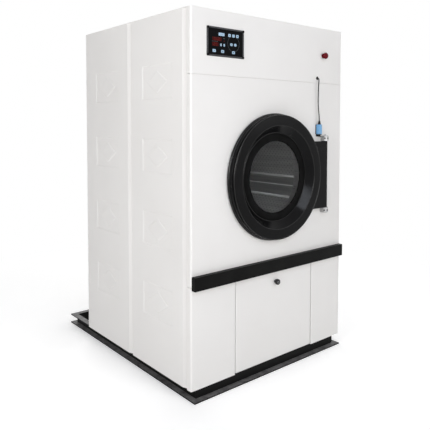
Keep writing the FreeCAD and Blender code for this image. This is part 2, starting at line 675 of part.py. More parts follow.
door_seal_outer = BACK_FLANGE_RADIUS + DOOR_SEAL_WIDTH
save("door_seal", turned([
    (BACK_FLANGE_RADIUS, DOOR_BACK_GAP), (door_seal_outer, DOOR_BACK_GAP),
    (door_seal_outer - SHEET, SEAL_CLEARANCE), (BACK_FLANGE_RADIUS + SHEET, SEAL_CLEARANCE),
], DOOR_X, DOOR_HEIGHT))

magnets = []
magnet_centre = (door_seal_outer + DOOR_RADIUS) / 2
for angle in MAGNET_ANGLES:
    a = math.radians(angle)
    at = (DOOR_X + magnet_centre * math.cos(a), -SEAL_CLEARANCE, DOOR_HEIGHT + magnet_centre * math.sin(a))
    magnets.append(rod(MAGNET_RADIUS, at, (0, -1, 0), DOOR_BACK_GAP - SEAL_CLEARANCE))
save("door_magnets", *magnets)

# Hinge: a deep block beside the ring, flat in front and rounded behind its axis, on two pins
hinge_top = HINGE_BOTTOM + HINGE_HEIGHT
block_front = HINGE_PROUD + HINGE_BARREL_RADIUS
block_right = HINGE_X + HINGE_BARREL_RADIUS
hinge_plate = box(DOOR_X, block_right, -block_front, -DOOR_BACK_GAP, HINGE_BOTTOM, hinge_top)
hinge_plate = bend(hinge_plate, block_right, -block_front, HINGE_BLOCK_EDGE)
hinge_plate = bend(hinge_plate, block_right, -DOOR_BACK_GAP, HINGE_BACK_ROUND)
for level, rise in ((hinge_top, -HINGE_TOP_CHAMFER), (HINGE_BOTTOM, HINGE_BOTTOM_CHAMFER)):
    corner = [(block_right - abs(rise), -block_front, level), (block_right, -block_front, level),
              (block_right, -block_front, level + rise)]
    hinge_plate = hinge_plate.cut(prism(corner, (0, block_front, 0)))
hinge_plate = hinge_plate.cut(rod(DOOR_RADIUS, (DOOR_X, 0, DOOR_HEIGHT), (0, -1, 0), block_front))
pin_gap = HINGE_PIN_RADIUS + RUNNING_CLEARANCE
bottom_bore = rod(pin_gap, (HINGE_X, -HINGE_PROUD, HINGE_BOTTOM), (0, 0, 1), HINGE_PIN_DEPTH)
top_bore = rod(pin_gap, (HINGE_X, -HINGE_PROUD, hinge_top - HINGE_PIN_DEPTH), (0, 0, 1), HINGE_PIN_DEPTH)
save("hinge_plate", hinge_plate.cut(bottom_bore).cut(top_bore))

pin_length = HINGE_PIN_DEPTH + HINGE_SIDE_GAP + BRACKET_HEIGHT - SHEET
lower_bracket_bottom = HINGE_BOTTOM - HINGE_SIDE_GAP - BRACKET_HEIGHT
upper_bracket_bottom = hinge_top + HINGE_SIDE_GAP
lower_pin = rod(HINGE_PIN_RADIUS, (HINGE_X, -HINGE_PROUD, lower_bracket_bottom), (0, 0, 1), pin_length)
upper_pin_bottom = upper_bracket_bottom + BRACKET_HEIGHT - pin_length
upper_pin = rod(HINGE_PIN_RADIUS, (HINGE_X, -HINGE_PROUD, upper_pin_bottom), (0, 0, 1), pin_length)
save("hinge_pins", lower_pin, upper_pin)


def hinge_bracket(bottom, round_end):
    left = HINGE_X - BRACKET_HALF_WIDTH
    right = HINGE_X + BRACKET_HALF_WIDTH
    tongue = box(left, right, -HINGE_PROUD, 0, bottom, bottom + BRACKET_HEIGHT)
    tongue = tongue.fuse(rod(BRACKET_HALF_WIDTH, (HINGE_X, -HINGE_PROUD, bottom), (0, 0, 1), BRACKET_HEIGHT))
    foot = box(left, right + BRACKET_FOOT - BRACKET_HALF_WIDTH, -BRACKET_FOOT_THICKNESS, 0,
               bottom, bottom + BRACKET_HEIGHT)
    body = tongue.fuse(foot).removeSplitter()
    outer = [e for e in body.Edges if abs(e.BoundBox.Center.z - round_end) < 1e-6
             and e.BoundBox.ZLength < 1e-6 and e.BoundBox.YMin < -BRACKET_FOOT_THICKNESS - 1]
    return body.makeFillet(BRACKET_EDGE, outer)


lower_bracket = hinge_bracket(lower_bracket_bottom, lower_bracket_bottom)
upper_bracket = hinge_bracket(upper_bracket_bottom, upper_bracket_bottom + BRACKET_HEIGHT)
save("hinge_brackets", lower_bracket.cut(lower_pin), upper_bracket.cut(upper_pin))

screws = []
screw_x = HINGE_X + BRACKET_FOOT - HINGE_SCREW_SIDE
for bottom in (lower_bracket_bottom, upper_bracket_bottom):
    for dz in (HINGE_SCREW_END, BRACKET_HEIGHT - HINGE_SCREW_END):
        head = rod(HINGE_SCREW_HEAD, (screw_x, -BRACKET_FOOT_THICKNESS, bottom + dz), (0, -1, 0),
                   HINGE_SCREW_HEIGHT)
        screws.append(head.makeChamfer(HINGE_SCREW_EDGE, [head.Edges[0]]))
save("hinge_screws", *screws)

# Throat between the door panel and the drum
throat_outer = THROAT_RADIUS + THROAT_WALL
throat = ring(throat_outer, THROAT_RADIUS, (DOOR_X, SHEET, DOOR_HEIGHT), (0, 1, 0), THROAT_LENGTH - SHEET)
throat = throat.fuse(ring(THROAT_RADIUS + THROAT_FLANGE, THROAT_RADIUS, (DOOR_X, SHEET, DOOR_HEIGHT),
                          (0, 1, 0), THROAT_WALL)).removeSplitter()
save("throat_ring", throat)
seal_start = DRUM_FRONT - DRUM_SEAL_GAP - DRUM_SEAL_LENGTH
save("drum_seal", ring(throat_outer + DRUM_SEAL_WIDTH, throat_outer, (DOOR_X, seal_start, DOOR_HEIGHT),
                       (0, 1, 0), DRUM_SEAL_LENGTH))

# Shroud around the drum, with hot air in at the top and out at the bottom
shroud_outer = SHROUD_RADIUS + SHROUD_WALL
shroud_back = DRUM_BACK + SHROUD_BACK_GAP
axis_point = (DOOR_X, SHROUD_FRONT, DOOR_HEIGHT)
shroud = rod(shroud_outer, axis_point, (0, 1, 0), shroud_back - SHROUD_FRONT)
shroud = shroud.cut(rod(SHROUD_RADIUS, (DOOR_X, SHROUD_FRONT + SHROUD_WALL, DOOR_HEIGHT), (0, 1, 0),
                        shroud_back - SHROUD_FRONT - 2 * SHROUD_WALL))
shroud = shroud.cut(rod(throat_outer, axis_point, (0, 1, 0), SHROUD_WALL))
shroud = shroud.cut(rod(HUB_RADIUS + SHROUD_HUB_GAP, (DOOR_X, shroud_back - SHROUD_WALL, DOOR_HEIGHT),
                        (0, 1, 0), SHROUD_WALL))
duct_left = lint_left + LINT_DUCT_INSET
duct_right = lint_right - LINT_DUCT_INSET
duct_back = LINT_DUCT_FRONT + LINT_DUCT_DEPTH
shroud = shroud.cut(box(heater_left + SHEET, heater_right - SHEET, HEATER_FRONT + SHEET,
                        heater_back - SHEET, DOOR_HEIGHT, CABINET_TOP))
shroud = shroud.cut(box(duct_left + SHEET, duct_right - SHEET, LINT_DUCT_FRONT + SHEET,
                        duct_back - SHEET, BASE_HEIGHT, DOOR_HEIGHT))
save("drum_shroud", shroud)

around_shroud = rod(shroud_outer, axis_point, (0, 1, 0), shroud_back - SHROUD_FRONT)
heater = box(heater_left, heater_right, HEATER_FRONT, heater_back, DOOR_HEIGHT, PANEL_TOP)
heater = heater.cut(box(heater_left + SHEET, heater_right - SHEET, HEATER_FRONT + SHEET,
                        heater_back - SHEET, DOOR_HEIGHT, PANEL_TOP))
save("heater_box", heater.cut(around_shroud))
tube_pitch = (HEATER_DEPTH - 2 * SHEET) / HEATER_TUBES
heater_tubes = []
for i in range(HEATER_TUBES):
    y = HEATER_FRONT + SHEET + tube_pitch * (i + 0.5)
    heater_tubes.append(rod(HEATER_TUBE_RADIUS, (heater_left + SHEET, y, HEATER_TUBE_HEIGHT), (1, 0, 0),
                            2 * HEATER_HALF_WIDTH - 2 * SHEET))
save("heater_tubes", *heater_tubes)

# Lint duct and the screen that slides in under it
screen_bottom = LINT_DUCT_BOTTOM + SHEET
screen_top = screen_bottom + LINT_SCREEN_HEIGHT
duct = box(duct_left, duct_right, LINT_DUCT_FRONT, duct_back, LINT_DUCT_BOTTOM, DOOR_HEIGHT)
duct = duct.cut(box(duct_left + SHEET, duct_right - SHEET, LINT_DUCT_FRONT + SHEET, duct_back - SHEET,
                    screen_bottom, DOOR_HEIGHT))
duct = duct.cut(box(duct_left + LINT_LIP, duct_right - LINT_LIP, LINT_DUCT_FRONT, duct_back - LINT_LIP,
                    LINT_DUCT_BOTTOM, screen_bottom))
duct = duct.cut(box(duct_left + SHEET, duct_right - SHEET, LINT_DUCT_FRONT, LINT_DUCT_FRONT + SHEET,
                    screen_bottom, screen_top + LINT_SCREEN_GAP))
save("lint_duct", duct.cut(around_shroud))

screen_left = duct_left + SHEET + LINT_SCREEN_GAP
screen_right = duct_right - SHEET - LINT_SCREEN_GAP
screen_back = duct_back - SHEET - LINT_SCREEN_GAP
screen = box(screen_left, screen_right, LINT_DUCT_FRONT, screen_back, screen_bottom, screen_top)
screen = screen.cut(box(screen_left + LINT_SCREEN_FRAME, screen_right - LINT_SCREEN_FRAME,
                        LINT_DUCT_FRONT + LINT_SCREEN_FRAME, screen_back - LINT_SCREEN_FRAME,
                        screen_bottom + LINT_MESH, screen_top))
screen_pitch = (screen_right - screen_left - 2 * LINT_SCREEN_FRAME) / (LINT_SCREEN_BARS + 1)
screen_bars = []
for i in range(LINT_SCREEN_BARS):
    x = screen_left + LINT_SCREEN_FRAME + screen_pitch * (i + 1)
    screen_bars.append(box(x - LINT_SCREEN_BAR / 2, x + LINT_SCREEN_BAR / 2,
                           LINT_DUCT_FRONT + LINT_SCREEN_FRAME, screen_back - LINT_SCREEN_FRAME,
                           screen_bottom + LINT_MESH, screen_bottom + LINT_SCREEN_HEIGHT / 2))
save("lint_screen", screen.multiFuse(screen_bars).removeSplitter())

# Drum, lifters, spider and shaft
drum = rod(DRUM_RADIUS, (DOOR_X, DRUM_FRONT, DOOR_HEIGHT), (0, 1, 0), DRUM_LENGTH)
drum = drum.cut(rod(DRUM_RADIUS - DRUM_WALL, (DOOR_X, DRUM_FRONT + DRUM_PLATE, DOOR_HEIGHT), (0, 1, 0),
                    DRUM_LENGTH - 2 * DRUM_PLATE))
drum = drum.cut(rod(DRUM_MOUTH_RADIUS, (DOOR_X, DRUM_FRONT, DOOR_HEIGHT), (0, 1, 0), DRUM_PLATE))
save("drum_shell", drum)

inner_radius = DRUM_RADIUS - DRUM_WALL
lifter_start = DRUM_FRONT + LIFTER_END_GAP
half_base = math.degrees(math.asin(LIFTER_BASE / 2 / inner_radius))
ridge = inner_radius - LIFTER_HEIGHT
lifter_profile = [
    (DOOR_X + inner_radius + LIFTER_NOSE, lifter_start, DOOR_HEIGHT - LIFTER_BASE / 2),
    (DOOR_X + inner_radius * math.cos(math.radians(half_base)), lifter_start, DOOR_HEIGHT - LIFTER_BASE / 2),
    (DOOR_X + ridge + LIFTER_NOSE, lifter_start, DOOR_HEIGHT - LIFTER_NOSE),
    (DOOR_X + ridge, lifter_start, DOOR_HEIGHT - LIFTER_NOSE / 2),
    (DOOR_X + ridge, lifter_start, DOOR_HEIGHT + LIFTER_NOSE / 2),
    (DOOR_X + ridge + LIFTER_NOSE, lifter_start, DOOR_HEIGHT + LIFTER_NOSE),
    (DOOR_X + inner_radius * math.cos(math.radians(half_base)), lifter_start, DOOR_HEIGHT + LIFTER_BASE / 2),
    (DOOR_X + inner_radius + LIFTER_NOSE, lifter_start, DOOR_HEIGHT + LIFTER_BASE / 2),
]
inside_drum = rod(inner_radius, (DOOR_X, DRUM_FRONT, DOOR_HEIGHT), (0, 1, 0), DRUM_LENGTH)
lifter = prism(lifter_profile, (0, LIFTER_LENGTH, 0)).common(inside_drum)
lifters = []
for i in range(LIFTER_COUNT):
    copy = lifter.copy()
    copy.rotate(Vector(DOOR_X, 0, DOOR_HEIGHT), Vector(0, -1, 0), LIFTER_ANGLE + 360.0 * i / LIFTER_COUNT)
    lifters.append(copy)
save("drum_lifters", *lifters)

spider = rod(HUB_RADIUS, (DOOR_X, DRUM_BACK, DOOR_HEIGHT), (0, 1, 0), HUB_LENGTH)
arms = [
    box(DOOR_X - SPIDER_REACH, DOOR_X + SPIDER_REACH, DRUM_BACK, DRUM_BACK + SPIDER_THICKNESS,
        DOOR_HEIGHT - SPIDER_ARM / 2, DOOR_HEIGHT + SPIDER_ARM / 2),
    box(DOOR_X - SPIDER_ARM / 2, DOOR_X + SPIDER_ARM / 2, DRUM_BACK, DRUM_BACK + SPIDER_THICKNESS,
        DOOR_HEIGHT - SPIDER_REACH, DOOR_HEIGHT + SPIDER_REACH),
]
pulley_front = BELT_PLANE - PULLEY_WIDTH / 2
pulley_back = BELT_PLANE + PULLEY_WIDTH / 2
shaft_end = pulley_back + PULLEY_RIM / 2
shaft = rod(SHAFT_RADIUS, (DOOR_X, DRUM_BACK, DOOR_HEIGHT), (0, 1, 0), shaft_end - DRUM_BACK)
save("drum_spider", spider.multiFuse(arms).removeSplitter().cut(shaft))
save("drum_shaft", shaft)

# Rear bearings in a flanged housing on the two beams between the rear posts
housing = rod(housing_radius, (DOOR_X, HOUSING_FRONT, DOOR_HEIGHT), (0, 1, 0), HOUSING_LENGTH)
flange = box(DOOR_X - HOUSING_FLANGE / 2, DOOR_X + HOUSING_FLANGE / 2, beam_front - HOUSING_FLANGE_THICKNESS,
             beam_front, DOOR_HEIGHT - HOUSING_FLANGE / 2, DOOR_HEIGHT + HOUSING_FLANGE / 2)
corners = edges_along(flange, Vector(0, 1, 0), lambda c: True)
housing = housing.fuse(flange.makeFillet(HOUSING_WALL, corners)).removeSplitter()
housing = housing.cut(rod(BEARING_RADIUS, (DOOR_X, HOUSING_FRONT, DOOR_HEIGHT), (0, 1, 0), HOUSING_LENGTH))
save("bearing_housing", housing)
bearing_starts = (HOUSING_FRONT, HOUSING_FRONT + HOUSING_LENGTH - BEARING_WIDTH)
save("shaft_bearings", *[ring(BEARING_RADIUS, SHAFT_RADIUS + RUNNING_CLEARANCE, (DOOR_X, y, DOOR_HEIGHT),
                              (0, 1, 0), BEARING_WIDTH) for y in bearing_starts])


# Grooved pulleys and the two V-belts
def groove_profile(radius, hub, offset):
    # radius and depth points of a pulley rim with two V-grooves, turned about an axis along Y
    top = BELT_TOP / 2 + BELT_GAP
    bottom = BELT_BOTTOM / 2 + BELT_GAP
    points = [(hub, offset - PULLEY_WIDTH / 2), (radius, offset - PULLEY_WIDTH / 2)]
    for side in (-1, 1):
        y = offset + side * BELT_SPACING / 2
        points += [(radius, y - top), (radius - BELT_THICKNESS - BELT_GAP, y - bottom),
                   (radius - BELT_THICKNESS - BELT_GAP, y + bottom), (radius, y + top)]
    return points + [(radius, offset + PULLEY_WIDTH / 2), (hub, offset + PULLEY_WIDTH / 2)]


def pulley_rim(radius, hub, x, z):
    points = [Vector(x + r, y, z) for r, y in groove_profile(radius, hub, BELT_PLANE)]
    return Part.Face(Part.makePolygon(points + [points[0]])).revolve(Vector(x, 0, z), Vector(0, 1, 0), 360)


drum_pulley = pulley_rim(PULLEY_RADIUS, PULLEY_RADIUS - PULLEY_RIM, DOOR_X, DOOR_HEIGHT)
pulley_parts = [rod(PULLEY_HUB_RADIUS, (DOOR_X, pulley_front, DOOR_HEIGHT), (0, 1, 0), PULLEY_WIDTH)]
for i in range(PULLEY_ARMS):
    arm = box(DOOR_X, DOOR_X + PULLEY_RADIUS - PULLEY_RIM / 2, BELT_PLANE - PULLEY_ARM_THICKNESS / 2,
              BELT_PLANE + PULLEY_ARM_THICKNESS / 2, DOOR_HEIGHT - PULLEY_ARM_WIDTH / 2,
              DOOR_HEIGHT + PULLEY_ARM_WIDTH / 2)
    arm.rotate(Vector(DOOR_X, 0, DOOR_HEIGHT), Vector(0, 1, 0), 360.0 * i / PULLEY_ARMS)
    pulley_parts.append(arm)
groove_floor = PULLEY_RADIUS - BELT_THICKNESS - BELT_GAP
inside_rim = rod(groove_floor - 1, (DOOR_X, pulley_front, DOOR_HEIGHT), (0, 1, 0), PULLEY_WIDTH)
pulley_parts = [p.common(inside_rim) for p in pulley_parts]
drum_pulley = drum_pulley.multiFuse(pulley_parts).removeSplitter()
save("drum_pulley", drum_pulley.cut(shaft))

gearbox_back = GEARBOX_FRONT + GEARBOX_DEPTH
gear_shaft = rod(GEAR_SHAFT_RADIUS, (MOTOR_X, GEARBOX_FRONT, MOTOR_AXIS_HEIGHT), (0, 1, 0),
                 pulley_back - GEARBOX_FRONT)
motor_pulley = pulley_rim(MOTOR_PULLEY_RADIUS, GEAR_SHAFT_RADIUS, MOTOR_X, MOTOR_AXIS_HEIGHT)
save("motor_pulley", motor_pulley.fuse(gear_shaft).removeSplitter())

span = Vector(DOOR_X - MOTOR_X, 0, DOOR_HEIGHT - MOTOR_AXIS_HEIGHT)


def belt(y):
    # V-belt swept round both pulleys, its outer face level with the rims
    big = PULLEY_RADIUS - BELT_THICKNESS / 2
    small = MOTOR_PULLEY_RADIUS - BELT_THICKNESS / 2
    along = Vector(span).normalize()
    across = Vector(along.z, 0, -along.x)
    lean = math.asin((big - small) / span.Length)
    motor = Vector(MOTOR_X, y, MOTOR_AXIS_HEIGHT)
    drum_centre = Vector(DOOR_X, y, DOOR_HEIGHT)
    normals = [across * (side * math.cos(lean)) - along * math.sin(lean) for side in (1, -1)]
    lower = [motor + normal * small for normal in normals]
    upper = [drum_centre + normal * big for normal in normals]
    path = Part.Wire([
        Part.makeLine(lower[0], upper[0]),
        Part.Arc(upper[0], drum_centre + along * big, upper[1]).toShape(),
        Part.makeLine(upper[1], lower[1]),
        Part.Arc(lower[1], motor - along * small, lower[0]).toShape(),
    ])
    out = normals[0] * (BELT_THICKNESS / 2)
    wide = Vector(0, BELT_TOP / 2, 0)
    narrow = Vector(0, BELT_BOTTOM / 2, 0)
    corners = [lower[0] + out + wide, lower[0] + out - wide, lower[0] - out - narrow, lower[0] - out + narrow]
    return path.makePipeShell([Part.makePolygon(corners + [corners[0]])], True, True)


belts = [belt(BELT_PLANE + side * BELT_SPACING / 2) for side in (-1, 1)]
save("drive_belts", *belts)

gearbox_left = MOTOR_X - GEARBOX_WIDTH / 2
gearbox_right = MOTOR_X + GEARBOX_WIDTH / 2
gearbox = box(gearbox_left, gearbox_right, GEARBOX_FRONT, gearbox_back, plate_top,
              plate_top + GEARBOX_HEIGHT)
gearbox = gearbox.makeFillet(GEARBOX_EDGE,
                             edges_along(gearbox, Vector(0, 1, 0), lambda c: c.z > plate_top + 1))
gear_centre = GEARBOX_FRONT + GEARBOX_DEPTH / 2
worm_height = MOTOR_AXIS_HEIGHT + WORM_RISE
motor_body = rod(MOTOR_RADIUS, (gearbox_right, gear_centre, worm_height), (1, 0, 0), MOTOR_LENGTH)
motor_parts = [motor_body]
for i in range(MOTOR_RIBS):
    rib = box(gearbox_right + GEARBOX_EDGE, gearbox_right + MOTOR_LENGTH - 3 * GEARBOX_EDGE,
              gear_centre - MOTOR_RIB / 2, gear_centre + MOTOR_RIB / 2, worm_height,
              worm_height + MOTOR_RADIUS + MOTOR_RIB_RISE)
    rib.rotate(Vector(0, gear_centre, worm_height), Vector(1, 0, 0), 360.0 * i / MOTOR_RIBS)
    motor_parts.append(rib)
gear_bore = rod(GEAR_SHAFT_RADIUS + RUNNING_CLEARANCE, (MOTOR_X, GEARBOX_FRONT, MOTOR_AXIS_HEIGHT),
                (0, 1, 0), GEARBOX_DEPTH)
save("gear_motor", gearbox.multiFuse(motor_parts).removeSplitter().cut(gear_bore))


# Exhaust fan: spiral housing on feet, its outlet to the back
def scroll(x0, x1, shrink):
    # spiral of four quarter turns that grow toward the outlet
    r = [radius - shrink for radius in FAN_RADII]
    turns = []
    directions = [(0, 1), (1, 0), (0, -1), (-1, 0)]
    centre = Vector(x0, FAN_DEPTH, FAN_HEIGHT)
    for i in range(4):
        across = directions[i][0] + directions[(i + 1) % 4][0]
        rise = directions[i][1] + directions[(i + 1) % 4][1]
        quarter = Part.makeCylinder(r[i], x1 - x0, centre, Vector(1, 0, 0))
        zone = box(x0, x1, FAN_DEPTH + min(0, across * r[i]), FAN_DEPTH + max(0, across * r[i]),
                   FAN_HEIGHT + min(0, rise * r[i]), FAN_HEIGHT + max(0, rise * r[i]))
        turns.append(quarter.common(zone))
    outlet = box(x0, x1, FAN_DEPTH, CABINET_DEPTH - SHEET, outlet_bottom + shrink, FAN_HEIGHT + r[3])
    return turns[0].multiFuse(turns[1:] + [outlet]).removeSplitter()


fan_right = FAN_LEFT + FAN_WIDTH
scroll_outer = scroll(FAN_LEFT, fan_right, 0)
scroll_inner = scroll(FAN_LEFT + FAN_WALL, fan_right - FAN_WALL, FAN_WALL)
feet = [box(FAN_LEFT, fan_right, y - FAN_FOOT / 2, y + FAN_FOOT / 2, BASE_HEIGHT, FAN_HEIGHT)
        for y in CROSS_BEAM_DEPTHS[:2]]
fan = scroll_outer.multiFuse(feet).removeSplitter().cut(scroll_inner)
fan = fan.cut(rod(FAN_INLET_RADIUS, (fan_right - FAN_WALL, FAN_DEPTH, FAN_HEIGHT), (1, 0, 0), FAN_WALL))
fan = fan.cut(rod(FAN_SHAFT_RADIUS + FAN_WALL, (FAN_LEFT, FAN_DEPTH, FAN_HEIGHT), (1, 0, 0), FAN_WALL))
save("fan_scroll", fan)

impeller_left = FAN_LEFT + (FAN_WIDTH - IMPELLER_WIDTH) / 2
impeller = rod(IMPELLER_RADIUS, (impeller_left, FAN_DEPTH, FAN_HEIGHT), (1, 0, 0), IMPELLER_BLADE)
fan_parts = [rod(IMPELLER_HUB_RADIUS, (impeller_left, FAN_DEPTH, FAN_HEIGHT), (1, 0, 0), IMPELLER_WIDTH / 2),
             rod(FAN_SHAFT_RADIUS, (FAN_LEFT - FAN_MOTOR_LENGTH / 2, FAN_DEPTH, FAN_HEIGHT), (1, 0, 0),
                 FAN_MOTOR_LENGTH / 2 + FAN_WIDTH / 2)]
for i in range(IMPELLER_BLADES):
    blade = box(impeller_left, impeller_left + IMPELLER_WIDTH, FAN_DEPTH - IMPELLER_BLADE / 2,
                FAN_DEPTH + IMPELLER_BLADE / 2, FAN_HEIGHT + IMPELLER_RADIUS / 2,
                FAN_HEIGHT + IMPELLER_RADIUS)
    blade.rotate(Vector(0, FAN_DEPTH, FAN_HEIGHT), Vector(1, 0, 0), 360.0 * i / IMPELLER_BLADES)
    fan_parts.append(blade)
save("fan_impeller", impeller.multiFuse(fan_parts).removeSplitter())
fan_motor = rod(FAN_MOTOR_RADIUS, (FAN_LEFT - FAN_MOTOR_LENGTH, FAN_DEPTH, FAN_HEIGHT), (1, 0, 0),
                FAN_MOTOR_LENGTH)
save("fan_motor", fan_motor.cut(rod(FAN_SHAFT_RADIUS + RUNNING_CLEARANCE,
                                    (FAN_LEFT - FAN_MOTOR_LENGTH / 2, FAN_DEPTH, FAN_HEIGHT), (1, 0, 0),
                                    FAN_MOTOR_LENGTH / 2)))
spigot = ring(SPIGOT_RADIUS, SPIGOT_RADIUS - SPIGOT_WALL, (outlet_x, CABINET_DEPTH - SHEET, outlet_height),
              (0, 1, 0), SPIGOT_LENGTH + SHEET)
spigot_flange = box(outlet_x - SPIGOT_FLANGE / 2, outlet_x + SPIGOT_FLANGE / 2, CABINET_DEPTH,
                    CABINET_DEPTH + SPIGOT_FLANGE_THICKNESS, outlet_height - SPIGOT_FLANGE / 2,
                    outlet_height + SPIGOT_FLANGE / 2)
spigot_flange = spigot_flange.cut(rod(SPIGOT_RADIUS, (outlet_x, CABINET_DEPTH, outlet_height), (0, 1, 0),
                                      SPIGOT_FLANGE_THICKNESS))
save("exhaust_spigot", spigot.fuse(spigot_flange).removeSplitter())

# Lint door, hinged at its foot, and its quarter-turn lock
lint_door = tray(lint_left, lint_right, lint_bottom, LINT_DOOR_TOP, 0, FRONT_TRAY_DEPTH,
                 (FOLD_RADIUS, FOLD_RADIUS), SHEET)
lock_axis = (LOCK_X, 0, LOCK_HEIGHT)
lock_bore = rod(LOCK_STEM_RADIUS + RUNNING_CLEARANCE, lock_axis, (0, 1, 0), FRONT_TRAY_DEPTH)
pins = []
for x, inward in ((lint_left, 1), (lint_right, -1)):
    start = x - inward * (LINT_DOOR_GAP + SHEET)
    pins.append(rod(LINT_PIN_RADIUS, (start, LINT_AXIS_DEPTH, lint_axis_height), (inward, 0, 0),
                    LINT_PIN_LENGTH))
save("lint_door", lint_door.cut(lock_bore).multiFuse(pins).removeSplitter())
liner = box(lint_left + SHEET, lint_right - SHEET, FRONT_TRAY_DEPTH - SHEET, FRONT_TRAY_DEPTH,
            lint_bottom + SHEET, LINT_DOOR_TOP - SHEET)
save("lint_door_liner", liner.cut(lock_bore))

cam_front = FRONT_TRAY_DEPTH + KEEPER_THICKNESS + CAM_GAP
knob = rod(LOCK_RADIUS, (LOCK_X, -LOCK_PROUD, LOCK_HEIGHT), (0, 1, 0), LOCK_HEAD)
knob = knob.makeFillet(LOCK_EDGE, knob.Edges[:1])
knob_parts = [
    rod(LOCK_NECK_RADIUS, (LOCK_X, -LOCK_PROUD, LOCK_HEIGHT), (0, 1, 0), LOCK_PROUD),
    rod(LOCK_STEM_RADIUS, (LOCK_X, -LOCK_PROUD, LOCK_HEIGHT), (0, 1, 0),
        LOCK_PROUD + cam_front + CAM_THICKNESS),
    box(LOCK_X - CAM_WIDTH / 2, LOCK_X + CAM_LENGTH, cam_front, cam_front + CAM_THICKNESS,
        LOCK_HEIGHT - CAM_WIDTH / 2, LOCK_HEIGHT + CAM_WIDTH / 2),
]
save("lint_lock", knob.multiFuse(knob_parts).removeSplitter())

# Control panel: bezel, flat overlay with slightly raised keys, and the box behind
panel_right = PANEL_LEFT + PANEL_WIDTH
panel_top = PANEL_BOTTOM + PANEL_HEIGHT
bezel = box(PANEL_LEFT, panel_right, -BEZEL_PROUD, 0, PANEL_BOTTOM, panel_top)
bezel = bezel.makeFillet(BEZEL_EDGE, edges_along(bezel, Vector(0, 1, 0), lambda c: True))
overlay_box = (PANEL_LEFT + BEZEL_FRAME, panel_right - BEZEL_FRAME, -OVERLAY_PROUD, 0,
               PANEL_BOTTOM + BEZEL_FRAME, panel_top - BEZEL_FRAME)
window = box(overlay_box[0], overlay_box[1], -BEZEL_PROUD, 0, overlay_box[4], overlay_box[5])
save("control_bezel", bezel.cut(window))
save("control_overlay", box(*overlay_box))

# Centre, width and height of each key and display from the panel's lower left corner
KEYS = (
    (102.0, 122.0, 48.0, 20.0), (160.0, 122.0, 21.0, 19.0), (190.0, 122.0, 21.0, 19.0),
    (219.0, 122.0, 21.0, 19.0), (69.0, 93.0, 68.0, 24.0), (57.0, 63.0, 44.0, 24.0),
    (118.0, 88.0, 8.0, 8.0), (98.0, 64.0, 13.0, 17.0), (121.0, 64.0, 13.0, 17.0),
    (175.0, 73.0, 20.0, 18.0), (204.0, 73.0, 20.0, 18.0), (50.0, 29.0, 25.0, 18.0),
    (110.0, 29.0, 24.0, 18.0), (190.0, 29.0, 24.0, 18.0),
)
keys = []
for x, z, width, height in KEYS:
    keys.append(box(PANEL_LEFT + x - width / 2, PANEL_LEFT + x + width / 2, -OVERLAY_PROUD - KEY_RISE,
                    -OVERLAY_PROUD, PANEL_BOTTOM + z - height / 2, PANEL_BOTTOM + z + height / 2))
save("control_keys", *keys)
save("control_box", box(PANEL_LEFT + CONTROL_BOX_INSET, panel_right - CONTROL_BOX_INSET, SHEET,
                        SHEET + CONTROL_BOX_DEPTH, PANEL_BOTTOM - CONTROL_BOX_INSET,
                        panel_top + CONTROL_BOX_INSET))

# Emergency stop
stop_axis = (STOP_X, -STOP_COLLAR_PROUD, STOP_HEIGHT)
collar = rod(STOP_COLLAR_RADIUS, stop_axis, (0, 1, 0), STOP_COLLAR_PROUD)
collar = collar.makeChamfer(STOP_COLLAR_EDGE, collar.Edges[:1])
collar_parts = [
    rod(STOP_BODY_RADIUS, stop_axis, (0, 1, 0), STOP_COLLAR_PROUD + SHEET),
    box(STOP_X - STOP_BLOCK / 2, STOP_X + STOP_BLOCK / 2, SHEET, SHEET + STOP_BLOCK_DEPTH,
        STOP_HEIGHT - STOP_BLOCK / 2, STOP_HEIGHT + STOP_BLOCK / 2),
]
stop_bore = rod(STOP_STEM_RADIUS + RUNNING_CLEARANCE, stop_axis, (0, 1, 0),
                STOP_COLLAR_PROUD + STOP_BLOCK_DEPTH / 2)
save("stop_collar", collar.multiFuse(collar_parts).removeSplitter().cut(stop_bore))
cap = rod(STOP_RADIUS, (STOP_X, -STOP_CAP_FRONT, STOP_HEIGHT), (0, 1, 0), STOP_CAP_FRONT - STOP_CAP_BACK)
cap = cap.makeFillet(STOP_EDGE, cap.Edges[:1])
stem = rod(STOP_STEM_RADIUS, (STOP_X, -STOP_CAP_BACK, STOP_HEIGHT), (0, 1, 0), STOP_STEM_LENGTH)
save("stop_button", cap.fuse(stem).removeSplitter())

# Door switch on the panel above the hinge
switch_left = SWITCH_X - SWITCH_WIDTH / 2
switch_right = SWITCH_X + SWITCH_WIDTH / 2
switch_top = SWITCH_BOTTOM + SWITCH_HEIGHT
switch_front = SWITCH_BASE_DEPTH + SWITCH_COVER_DEPTH
head_bottom = SWITCH_BOTTOM - SWITCH_HEAD_HEIGHT
base = box(switch_left, switch_right, -SWITCH_BASE_DEPTH, 0, SWITCH_BOTTOM, switch_top)
head = box(SWITCH_X - SWITCH_HEAD_WIDTH / 2, SWITCH_X + SWITCH_HEAD_WIDTH / 2, -switch_front, 0,
           head_bottom, SWITCH_BOTTOM)
head = head.makeFillet(SWITCH_HEAD_EDGE, edges_along(head, Vector(0, 1, 0), lambda c: c.z < head_bottom + 1))
pivot_height = head_bottom + SWITCH_HEAD_HEIGHT / 2
pivot = (SWITCH_X, -switch_front, pivot_height)
shaft_bore = rod(LEVER_SHAFT_RADIUS + RUNNING_CLEARANCE, pivot, (0, 1, 0), switch_front - SWITCH_EDGE)
save("switch_base", base.fuse(head).removeSplitter().cut(shaft_bore))
cover = box(switch_left, switch_right, -switch_front, -SWITCH_BASE_DEPTH, SWITCH_BOTTOM, switch_top)
cover = cover.makeFillet(SWITCH_EDGE, edges_along(cover, Vector(0, 0, 1), lambda c: c.y < 1 - switch_front))
